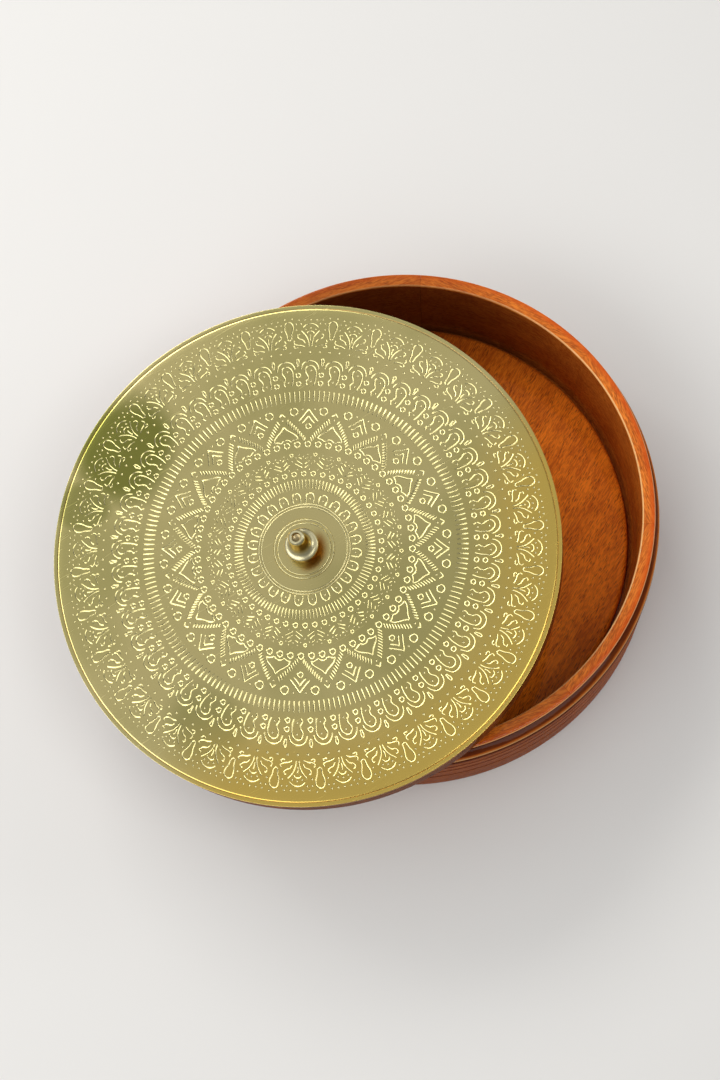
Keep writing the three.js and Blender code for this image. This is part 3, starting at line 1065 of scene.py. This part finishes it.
def ring_of(name, count, degrees, inner, outer, start, end):
    """A ring of cells, with its turn in degrees and its motif's reach in millimetres."""
    return Ring(name, count, math.radians(degrees), inner * MM, outer * MM, start, end)


CUPS = ring_of("pressed_cups", 24, 9, 23.05, 27.85, CENTRE_END, CUPS_END)
INNER_BARS = ring_of("pressed_inner_bars", 120, 2.1, 30.1, 34.7, CUPS_END, INNER_BARS_END)
SMALL_CIRCLES = ring_of("pressed_small_circles", 50, 3.2, 36.5, 38.7, INNER_BARS_END, SMALL_CIRCLES_END)
CHEVRONS = ring_of("pressed_chevrons", 25, 3.2, 40.6, 47.2, SMALL_CIRCLES_END, CHEVRONS_END)
SPADES = ring_of("pressed_spades", 16, 2.2, 54.9, 71.1, CHEVRONS_END, SPADES_END)
OUTER_BARS = ring_of("pressed_outer_bars", 200, 0.85, 74.1, 79.5, SPADES_END, OUTER_BARS_END)
ARCHES = ring_of("pressed_arches", 48, 6, 82.4, 96.1, OUTER_BARS_END, ARCHES_END)
BEADS = ring_of("pressed_beads", 128, 2.35, 98.7, 100.5, ARCHES_END, BEADS_END)
LOTUS = ring_of("pressed_lotus", 32, 2.35, 101.9, 117, BEADS_END, LOTUS_END)

# Radii of the pressed circles
BIG_CIRCLE = 1.85 * MM
MIDDLE_CIRCLE = 1.35 * MM
SMALL_CIRCLE = 1.1 * MM
TINY_CIRCLE = 0.75 * MM

# How much larger than a line's tool a pit's and a bead's are
PIT = 1.5
BEAD = 1.7

CUP_SHARES = ((-0.29, 0.0), (-0.3, 0.3), (-0.265, 0.68), (-0.15, 0.94), (0.0, 1.0), (0.15, 0.94),
              (0.265, 0.68), (0.3, 0.3), (0.29, 0.0))
BAR_SHARES = ((0.0, 0.0), (0.0, 1.0))

# Nested strokes that open on their middle line, between dots and a small circle on the cell's edge
CHEVRON_SHARES = (
    ((0.382, 0.348), (0.069, 0.0)),
    ((0.285, 0.561), (0.069, 0.273)),
    ((0.201, 0.788), (0.083, 0.682)),
)
CHEVRON_PIT_SHARES = ((0.0, 0.85), (0.18, 1.0), (0.318, 0.788), (0.5, 0.53), (0.292, -0.106))

# The spade, with its tip and its base of three scallops, and the row of circles inside it
SPADE_SHARES = (
    ((0.28, 0.03), (0.236, 0.13), (0.147, 0.235), (0.062, 0.33), (0.0, 0.45)),
    ((0.056, 0.757), (0.0, 0.862)),
    ((0.28, 0.03), (0.21, 0.02), (0.11, -0.045)),
)
SPADE_BASE_SHARES = ((-0.11, -0.045), (-0.06, 0.01), (0.0, 0.03), (0.06, 0.01), (0.11, -0.045))
SPADE_PIT_SHARES = ((0.0, 0.66),)
CIRCLE_ROW_SHARES = ((0.0, -0.154), (0.25, -0.154), (-0.25, -0.154), (0.5, -0.154))
STROKE_COUNT = 10
STROKE_ROW_SHARES = ((0.093, 0.597), (0.425, -0.003))
STROKE_HALF_SHARES = (0.02, 0.068)

# The two nested roofs between spades, with their diamond, dots and big circles, from the cell's edge
ROOF_SHARES = (
    ((0.19, 0.562), (0.095, 0.73), (0.0, 0.944)),
    ((0.12, 0.5), (0.06, 0.6), (0.0, 0.73)),
)
DIAMOND_SHARES = ((0.0, 0.499), (0.054, 0.414), (0.0, 0.329), (-0.054, 0.414), (0.0, 0.499))
ROOF_PIT_SHARES = ((0.109, 0.944),)
ROOF_CIRCLE_SHARE = (0.271, 0.883)

# The arch over a footprint loop, and what stands between two arches
ARCH_SHARES = ((-0.38, 0.594), (-0.335, 0.73), (-0.25, 0.84), (-0.13, 0.905), (0.0, 0.925), (0.13, 0.905),
               (0.25, 0.84), (0.335, 0.73), (0.38, 0.594))
FOOTPRINT_SHARES = ((-0.2, 0.0), (-0.255, 0.18), (-0.267, 0.341), (-0.253, 0.56), (-0.147, 0.7), (0.0, 0.746),
                    (0.147, 0.674), (0.187, 0.551), (0.15, 0.455), (0.093, 0.37), (0.08, 0.246), (0.16, 0.13),
                    (0.1, 0.0))
FOOTPRINT_PITS = (((-0.053, 0.558), PIT), ((-0.053, 0.145), PIT))
ARCH_DROP_SHARES = ((0.5, 1.0), (0.55, 0.93), (0.535, 0.83), (0.5, 0.73), (0.465, 0.83), (0.45, 0.93))
ARCH_CIRCLE_SHARES = ((0.5, 0.384), (0.5, 0.072))

# The lotus: its two stems, its bud, arcs and hooked petals, and the teardrop between two of them
LOTUS_SHARES = (
    ((0.213, 0.592), (0.098, 0.388), (0.044, 0.197), (0.031, 0.033)),
    ((0.124, 0.145), (0.178, 0.263), (0.258, 0.309), (0.302, 0.375), (0.293, 0.454), (0.25, 0.461)),
    ((0.133, 0.033), (0.231, 0.086), (0.34, 0.112), (0.4, 0.175), (0.378, 0.27)),
    ((0.302, 0.01), (0.378, 0.0), (0.404, 0.046), (0.375, 0.092)),
)
LOTUS_BUD_SHARES = ((0.0, 0.224), (0.012, 0.33), (0.0, 0.447))
LOTUS_ARC_SHARES = (
    ((-0.085, 0.48), (-0.055, 0.545), (0.0, 0.566), (0.055, 0.545), (0.085, 0.48)),
    ((-0.173, 0.697), (-0.1, 0.79), (0.0, 0.829), (0.1, 0.79), (0.173, 0.697)),
)
TEARDROP_SHARES = ((0.5, 0.908), (0.57, 0.86), (0.598, 0.711), (0.56, 0.5), (0.5, 0.263), (0.44, 0.5),
                   (0.402, 0.711), (0.43, 0.86))
LOTUS_PIT_SHARES = ((0.111, 0.632), (0.0, 0.678), (0.0, 0.961), (0.133, 0.961), (0.267, 0.961), (0.42, 1.02),
                    (0.218, 0.829), (0.329, 0.829), (0.329, 0.618))


def with_mirrors(*lines):
    """A motif's lines, followed by their reflections in its middle line."""
    return (*lines, *(tuple((-across, out) for across, out in line) for line in lines))


def pits(size, *places):
    """Pits of one size at the places given and, where they're off the middle line, at their reflections."""
    return [((side * across, out), size) for across, out in places for side in ((1, -1) if across else (1,))]


def stroke_rows():
    """The short strokes that climb both sides of a spade, square to its slope."""
    start, end = (Vector(share) for share in STROKE_ROW_SHARES)
    half = Vector(STROKE_HALF_SHARES)
    middles = [start.lerp(end, i / (STROKE_COUNT - 1)) for i in range(STROKE_COUNT)]
    return with_mirrors(*((tuple(place + half), tuple(place - half)) for place in middles))


def from_edge(line):
    """A line drawn about the cell's edge, moved there from the middle."""
    return tuple((across + 0.5, out) for across, out in line)


def sized_from_edge(sized):
    """Pits or circles drawn about the cell's edge, moved there from the middle."""
    return [(from_edge((place,))[0], size) for place, size in sized]


def motifs():
    """Every ring's motif."""
    roofs = [from_edge(line) for line in (*with_mirrors(*ROOF_SHARES), DIAMOND_SHARES)]
    roof_pits = sized_from_edge(pits(PIT, *ROOF_PIT_SHARES))
    roof_circles = sized_from_edge(pits(BIG_CIRCLE, ROOF_CIRCLE_SHARE))
    circle_row = [(place, MIDDLE_CIRCLE) for place in CIRCLE_ROW_SHARES]
    return (
        Motif(CUPS, lines=[CUP_SHARES], pits=pits(PIT, (0.0, 0.427))),
        Motif(INNER_BARS, lines=[BAR_SHARES], fineness=0.85),
        Motif(SMALL_CIRCLES, circles=[((0.0, 0.5), SMALL_CIRCLE)], fineness=0.9),
        Motif(CHEVRONS, lines=with_mirrors(*CHEVRON_SHARES), circles=[((0.5, 1.0), TINY_CIRCLE)],
              pits=pits(PIT, *CHEVRON_PIT_SHARES), fineness=0.8),
        Motif(SPADES, lines=[*with_mirrors(*SPADE_SHARES), SPADE_BASE_SHARES, *stroke_rows(), *roofs],
              circles=[*circle_row, *roof_circles], pits=[*pits(PIT, *SPADE_PIT_SHARES), *roof_pits]),
        Motif(OUTER_BARS, lines=[BAR_SHARES]),
        Motif(ARCHES, lines=[ARCH_SHARES, FOOTPRINT_SHARES], loops=[ARCH_DROP_SHARES],
              circles=[(place, SMALL_CIRCLE) for place in ARCH_CIRCLE_SHARES], pits=FOOTPRINT_PITS),
        Motif(BEADS, pits=pits(BEAD, (0.0, 0.5))),
        Motif(LOTUS, lines=[*with_mirrors(*LOTUS_SHARES), LOTUS_BUD_SHARES, *LOTUS_ARC_SHARES],
              loops=[TEARDROP_SHARES], pits=pits(PIT, *LOTUS_PIT_SHARES), fineness=0.9),
    )


# Pressing

# Past an open stroke's ends the tool is lifted, by a share of its nose, and inside them it's down
RUN_OUT_SHARE = 0.6
RUN_IN_SHARE = 0.6
LIFTED_SHARE = 0.98

# How far a cell is turned, so that its sides keep off the middle lines, and how its side faces are found
SEAM_SHIFT_SHARE = 0.043
SIDE_REACH_SHARE = 0.001
SIDE_FACING = 0.999


class PressTool:
    """The round-nosed tool that presses a line: its nose, and how far its centre stays above the sheet."""

    def __init__(self, width, depth):
        self.nose = (width * width / 4 + depth * depth) / (2 * depth)
        self.lift = self.nose - depth


def polar(radius, angle, height=0.0):
    """A place by its distance and its angle from the Z axis."""
    return Vector((radius * math.cos(angle), radius * math.sin(angle), height))


def on_ring(ring, point, shift=0):
    """The place of a motif's point on the top of the sheet, in the cell that lies shift cells further on."""
    across, out = point
    angle = ring.turn + FULL_TURN / ring.count * (across + shift)
    return polar(ring.inner + (ring.outer - ring.inner) * out, angle, SHEET_TOP)


def circle_points(centre, radius):
    """The knots of a circle on the sheet, from its outer side round."""
    angles = (angle_of(centre) + FULL_TURN * i / CIRCLE_KNOTS for i in range(CIRCLE_KNOTS))
    return [centre + polar(radius, angle) for angle in angles]


def angle_of(place):
    """The angle of a place about the lid's axis."""
    return math.atan2(place.y, place.x)


def off_cell(ring, place):
    """The angle to a place from the middle of a cell, whose sides keep off the motif's middle lines."""
    middle_angle = ring.turn + SEAM_SHIFT_SHARE * FULL_TURN / ring.count
    return (angle_of(place) - middle_angle + math.pi) % FULL_TURN - math.pi


def reaches_cell(ring, points, reach):
    """Whether any of a stroke's points comes within reach of the middle cell."""
    half_pitch = math.pi / ring.count
    return any(point.xy.length * (abs(off_cell(ring, point)) - half_pitch) < reach for point in points)


def with_run_outs(points, tool):
    """The points of an open stroke with the tool let down at its start and lifted at its end."""
    run = tool.nose * RUN_OUT_SHARE
    start = (points[0] - points[1]).normalized() * run
    end = (points[-1] - points[-2]).normalized() * run
    return [points[0] + start, points[0] - start * RUN_IN_SHARE, *points[1:-1],
            points[-1] - end * RUN_IN_SHARE, points[-1] + end]


def stroke_mesh(points, tool, closed):
    """A mesh of the tool's path along a stroke."""
    curve = bpy.data.curves.new("stroke", "CURVE")
    curve.dimensions = "3D"
    curve.twist_mode = "Z_UP"
    curve.bevel_depth = tool.nose
    curve.bevel_resolution = NOSE_STEPS
    curve.use_fill_caps = True
    curve.resolution_u = STROKE_STEPS
    spline = curve.splines.new("BEZIER")
    path = points if closed else with_run_outs(points, tool)
    spline.bezier_points.add(len(path) - 1)
    for knot, point in zip(spline.bezier_points, path):
        knot.co = point + UP * tool.lift
        knot.handle_left_type = knot.handle_right_type = "AUTO" if len(points) > 2 or closed else "VECTOR"
    spline.use_cyclic_u = closed
    if not closed:
        lifted = tool.lift / tool.nose * LIFTED_SHARE
        spline.bezier_points[0].radius = spline.bezier_points[-1].radius = lifted
    carrier = bpy.data.objects.new("stroke", curve)
    mesh = bpy.data.meshes.new_from_object(carrier)
    bpy.data.objects.remove(carrier)
    bpy.data.curves.remove(curve)
    bm = bmesh.new()
    bm.from_mesh(mesh)
    bmesh.ops.remove_doubles(bm, verts=bm.verts, dist=MERGE_REACH)
    bmesh.ops.recalc_face_normals(bm, faces=bm.faces)
    bm.to_mesh(mesh)
    bm.free()
    return mesh


def pit_mesh(place, tool, size):
    """A mesh of the tool's nose where it presses one pit."""
    bm = bmesh.new()
    centre = Matrix.Translation(place + UP * tool.lift * size)
    bmesh.ops.create_uvsphere(bm, u_segments=PIT_SEGMENTS, v_segments=PIT_RINGS, radius=tool.nose * size,
                              matrix=centre @ Matrix.Rotation(angle_of(place), 4, "Z"))
    return as_mesh(bm, "pit")


def stroke_meshes(motif, tool):
    """The tool's paths that reach into a ring's middle cell, its neighbours' strokes among them."""
    ring = motif.ring
    meshes = []
    for shift in (-1, 0, 1):
        open_paths = [[on_ring(ring, p, shift) for p in line] for line in motif.lines]
        closed_paths = [[on_ring(ring, p, shift) for p in loop] for loop in motif.loops]
        closed_paths += [circle_points(on_ring(ring, p, shift), radius) for p, radius in motif.circles]
        for paths, closed in ((open_paths, False), (closed_paths, True)):
            near = [path for path in paths if reaches_cell(ring, path, 2 * tool.nose)]
            meshes += [stroke_mesh(path, tool, closed) for path in near]
        for place, size in motif.pits:
            centre = on_ring(ring, place, shift)
            if reaches_cell(ring, [centre], 2 * tool.nose * size):
                meshes.append(pit_mesh(centre, tool, size))
    return meshes


def cell_mesh(ring):
    """The plain cell of a ring, before it's pressed."""
    pitch = FULL_TURN / ring.count
    bottom = SHEET_TOP - SHEET_THICKNESS
    section = [(ring.start, bottom), (ring.end, bottom), (ring.end, SHEET_TOP), (ring.start, SHEET_TOP)]
    start = ring.turn + (SEAM_SHIFT_SHARE - 0.5) * pitch
    bm = spun(section, start, pitch, max(1, round(TURN_STEPS / ring.count)))
    bmesh.ops.recalc_face_normals(bm, faces=bm.faces)
    return as_mesh(bm, "cell")


def pressed(mesh, cutters):
    """A bmesh of a plain mesh with the tool's paths cut out of it."""
    sheet = put("cell", mesh)
    paths = bpy.data.collections.new("strokes")
    for cutter in cutters:
        paths.objects.link(bpy.data.objects.new("stroke", cutter))
    bpy.context.scene.collection.children.link(paths)
    cut = sheet.modifiers.new("press", "BOOLEAN")
    cut.operation = "DIFFERENCE"
    cut.operand_type = "COLLECTION"
    cut.collection = paths
    cut.solver = "MANIFOLD"
    result = bpy.data.meshes.new_from_object(sheet.evaluated_get(bpy.context.evaluated_depsgraph_get()))
    bm = bmesh.new()
    bm.from_mesh(result)
    for carrier in (sheet, *paths.objects):
        bpy.data.objects.remove(carrier)
    bpy.data.collections.remove(paths)
    for spare in (mesh, result, *cutters):
        bpy.data.meshes.remove(spare)
    return bm


def open_sides(bm, ring):
    """Takes away a cell's two sides, where its neighbours join it."""
    half_pitch = math.pi / ring.count
    sides = []
    for face in bm.faces:
        centre = face.calc_center_median()
        across = Vector((-centre.y, centre.x, 0)).normalized()
        on_side = abs(abs(off_cell(ring, centre)) - half_pitch) < half_pitch * SIDE_REACH_SHARE
        if on_side and abs(face.normal.dot(across)) > SIDE_FACING:
            sides.append(face)
    bmesh.ops.delete(bm, geom=sides, context="FACES")


def press_ring(motif, looks):
    """Presses a ring of the sheet: one cell is cut, then repeated round the lid."""
    ring = motif.ring
    tool = PressTool(looks.line_width * motif.fineness, looks.line_depth * motif.fineness)
    bm = pressed(cell_mesh(ring), stroke_meshes(motif, tool))
    open_sides(bm, ring)
    copies = ring.count - 1
    bmesh.ops.spin(bm, geom=bm.verts[:] + bm.edges[:] + bm.faces[:], cent=(0, 0, 0), axis=UP,
                   angle=FULL_TURN * copies / ring.count, steps=copies, use_duplicate=True)
    lid_piece(ring.name, bm, sheet_brass(), "brass_cover")


class CHAPATI_OT_press_pattern(bpy.types.Operator):
    """Press the rings of pattern into the brass sheet"""

    bl_idname = "chapati.press_pattern"
    bl_label = "Pressed Pattern"

    def execute(self, context):
        for motif in motifs():
            press_ring(motif, context.scene.chapati_brass)
        return {"FINISHED"}


# The knob and its fixing

class CHAPATI_OT_make_knob(bpy.types.Operator):
    """Turn the brass knob"""

    bl_idname = "chapati.make_knob"
    bl_label = "Knob"

    def execute(self, context):
        looks = context.scene.chapati_brass
        lip = (KNOB_TIP - DIMPLE_RADIUS) / 2
        dimple_bottom = KNOB_TOP - DIMPLE_DEPTH
        profile = [
            (0, KNOB_BOTTOM),
            *((radius, KNOB_BOTTOM + share * KNOB_HEIGHT) for radius, share in KNOB_OUTLINE_SHARES),
            (KNOB_TIP - lip, KNOB_TOP), (DIMPLE_RADIUS + lip / 4, KNOB_TOP),
            (DIMPLE_RADIUS, KNOB_TOP - lip / 4), (DIMPLE_RADIUS, dimple_bottom),
            (0, dimple_bottom - DIMPLE_RADIUS / 2),
        ]
        colors = (looks.knob, looks.knob_dark, looks.knob, looks.line_highlight, looks.knob_shade)
        material = buffed_brass("knob_brass", colors, KNOB_BRUSHING, KNOB_DULLNESS_SHARE * looks.dullness,
                                looks.anisotropy / 2)
        lid_piece("knob_turning", spun(profile, steps=SMALL_TURN_STEPS), material, "knob")
        return {"FINISHED"}


class CHAPATI_OT_make_fixing(bpy.types.Operator):
    """Make the screw and washer that hold the knob from below"""

    bl_idname = "chapati.make_fixing"
    bl_label = "Screw and Washer"

    def execute(self, context):
        material = plated_steel("plated_steel", context.scene.chapati_brass.steel)
        washer_top = COUNTERBORE_DEPTH - SHEET_GAP
        washer_bottom = washer_top - WASHER_THICKNESS
        edge = WASHER_THICKNESS / 4
        washer = [
            (SHANK_HOLE_RADIUS, washer_bottom),
            *rounding(WASHER_RADIUS - edge, washer_bottom + edge, edge, -90, 0, SMALL_ROUND_STEPS),
            *rounding(WASHER_RADIUS - edge, washer_top - edge, edge, 0, 90, SMALL_ROUND_STEPS),
            (SHANK_HOLE_RADIUS, washer_top),
        ]
        head_top = washer_bottom - SHEET_GAP
        head_bottom = head_top - SCREW_HEAD_HEIGHT
        socket_top = head_bottom + SOCKET_DEPTH
        tip = SHEET_TOP + SHEET_GAP + SCREW_TIP
        dome = SCREW_HEAD_HEIGHT * SCREW_DOME_SHARE
        screw = [
            (0, socket_top), (SOCKET_RADIUS / 2, socket_top), (SOCKET_RADIUS, head_bottom),
            *rounding(SCREW_HEAD_RADIUS - dome, head_bottom + dome, dome, -90, 0),
            (SCREW_HEAD_RADIUS, head_top), (SCREW_RADIUS, head_top),
            (SCREW_RADIUS, tip - SCREW_RADIUS / 2), (SCREW_RADIUS / 2, tip), (0, tip),
        ]
        for name, profile, node in (("washer", washer, "knob_washer"), ("screw", screw, "knob_screw")):
            lid_piece(name, spun(profile, steps=SMALL_TURN_STEPS), material, node)
        return {"FINISHED"}


# The stage

FLOOR_SPAN = 4.0
FLOOR_COLOR = (0.74, 0.73, 0.71, 1)
FLOOR_ROUGHNESS = 0.9
WORLD_COLOR = (0.97, 0.98, 1.0, 1)
WORLD_STRENGTH = 0.22

# Each lamp's direction from the box in degrees, its distance and size in metres, its power and its colour
Lamp = namedtuple("Lamp", "name azimuth elevation distance width depth power color")
LAMPS = (
    Lamp("overhead", 105, 79, 1.5, 1.4, 1.3, 1.9, (1.0, 1.0, 1.0)),
    Lamp("window", 143, 40, 1.6, 1.6, 0.35, 8.5, (1.0, 0.99, 0.97)),
    Lamp("left_panel", 197, 47, 1.6, 1.2, 0.8, 8.0, (1.0, 1.0, 1.0)),
    Lamp("right_panel", 15, 34, 1.6, 1.5, 0.8, 2.5, (1.0, 1.0, 1.0)),
    Lamp("skylight", 95, 42, 1.5, 1.0, 0.45, 8.5, (1.0, 0.98, 0.95)),
    Lamp("front_light", -62, 68, 1.5, 0.6, 0.5, 3.7, (1.0, 0.99, 0.97)),
    Lamp("edge_light", -18, 26, 1.6, 0.5, 0.3, 2.5, (1.0, 1.0, 1.0)),
)


def place_lamp(lamp):
    """A soft rectangular lamp that looks at the middle of the box."""
    data = bpy.data.lights.new(lamp.name, "AREA")
    data.shape = "RECTANGLE"
    data.size = lamp.width
    data.size_y = lamp.depth
    data.energy = lamp.power
    data.color = lamp.color
    elevation = math.radians(lamp.elevation)
    offset = polar(lamp.distance * math.cos(elevation), math.radians(lamp.azimuth),
                   lamp.distance * math.sin(elevation))
    made = put(lamp.name, data)
    made.location = Vector(CAMERA_AIM) + offset
    made.rotation_euler = (-offset).to_track_quat("-Z", "Y").to_euler()


def place_floor():
    """A plain pale floor under the box."""
    bm = bmesh.new()
    bmesh.ops.create_grid(bm, x_segments=1, y_segments=1, size=FLOOR_SPAN / 2)
    material, shader = new_material("stage_floor")
    feed(shader, {"Base Color": FLOOR_COLOR, "Roughness": FLOOR_ROUGHNESS})
    made = put("stage_floor", as_mesh(bm, "stage_floor"))
    made.data.materials.append(material)


def place_camera():
    """The camera that took the photograph."""
    data = bpy.data.cameras.new("camera")
    data.lens = CAMERA_LENS
    data.sensor_width = CAMERA_SENSOR
    made = put("camera", data)
    made.location = CAMERA_PLACE
    look = (Vector(CAMERA_AIM) - Vector(CAMERA_PLACE)).to_track_quat("-Z", "Y")
    made.rotation_euler = (look @ Quaternion(UP, CAMERA_ROLL)).to_euler()
    bpy.context.scene.camera = made


class CHAPATI_OT_set_stage(bpy.types.Operator):
    """Set up the camera, the lamps, the world and the floor"""

    bl_idname = "chapati.set_stage"
    bl_label = "Stage"

    def execute(self, context):
        place_camera()
        place_floor()
        for lamp in LAMPS:
            place_lamp(lamp)
        world = bpy.data.worlds.new("studio")
        world.use_nodes = True
        feed(world.node_tree.nodes["Background"], {"Color": WORLD_COLOR, "Strength": WORLD_STRENGTH})
        context.scene.world = world
        context.scene.view_settings.view_transform = "Standard"
        return {"FINISHED"}


# The add-on

OPERATORS = (
    CHAPATI_OT_set_stage,
    CHAPATI_OT_make_wall,
    CHAPATI_OT_make_floor,
    CHAPATI_OT_make_lid_wood,
    CHAPATI_OT_make_sheet,
    CHAPATI_OT_press_pattern,
    CHAPATI_OT_make_knob,
    CHAPATI_OT_make_fixing,
)


class CHAPATI_PT_panel(bpy.types.Panel):
    """The chapati box's pieces"""

    bl_idname = "CHAPATI_PT_panel"
    bl_label = "Chapati Box"
    bl_space_type = "VIEW_3D"
    bl_region_type = "UI"
    bl_category = "Chapati Box"

    def draw(self, context):
        layout = self.layout
        for group in (context.scene.chapati_box, context.scene.chapati_brass):
            box = layout.box()
            for key in group.bl_rna.properties.keys():
                if key not in {"rna_type", "name"}:
                    box.prop(group, key)
        for operator in OPERATORS:
            layout.operator(operator.bl_idname)


CLASSES = (BoxLooks, BrassLooks, *OPERATORS, CHAPATI_PT_panel)


def register():
    for cls in CLASSES:
        bpy.utils.register_class(cls)
    bpy.types.Scene.chapati_box = PointerProperty(type=BoxLooks)
    bpy.types.Scene.chapati_brass = PointerProperty(type=BrassLooks)


def unregister():
    del bpy.types.Scene.chapati_brass
    del bpy.types.Scene.chapati_box
    for cls in reversed(CLASSES):
        bpy.utils.unregister_class(cls)


def main():
    register()
    bpy.ops.chapati.set_stage()
    bpy.ops.chapati.make_wall()
    bpy.ops.chapati.make_floor()
    bpy.ops.chapati.make_lid_wood()
    bpy.ops.chapati.make_sheet()
    bpy.ops.chapati.press_pattern()
    bpy.ops.chapati.make_knob()
    bpy.ops.chapati.make_fixing()


if __name__ == "__main__":
    main()
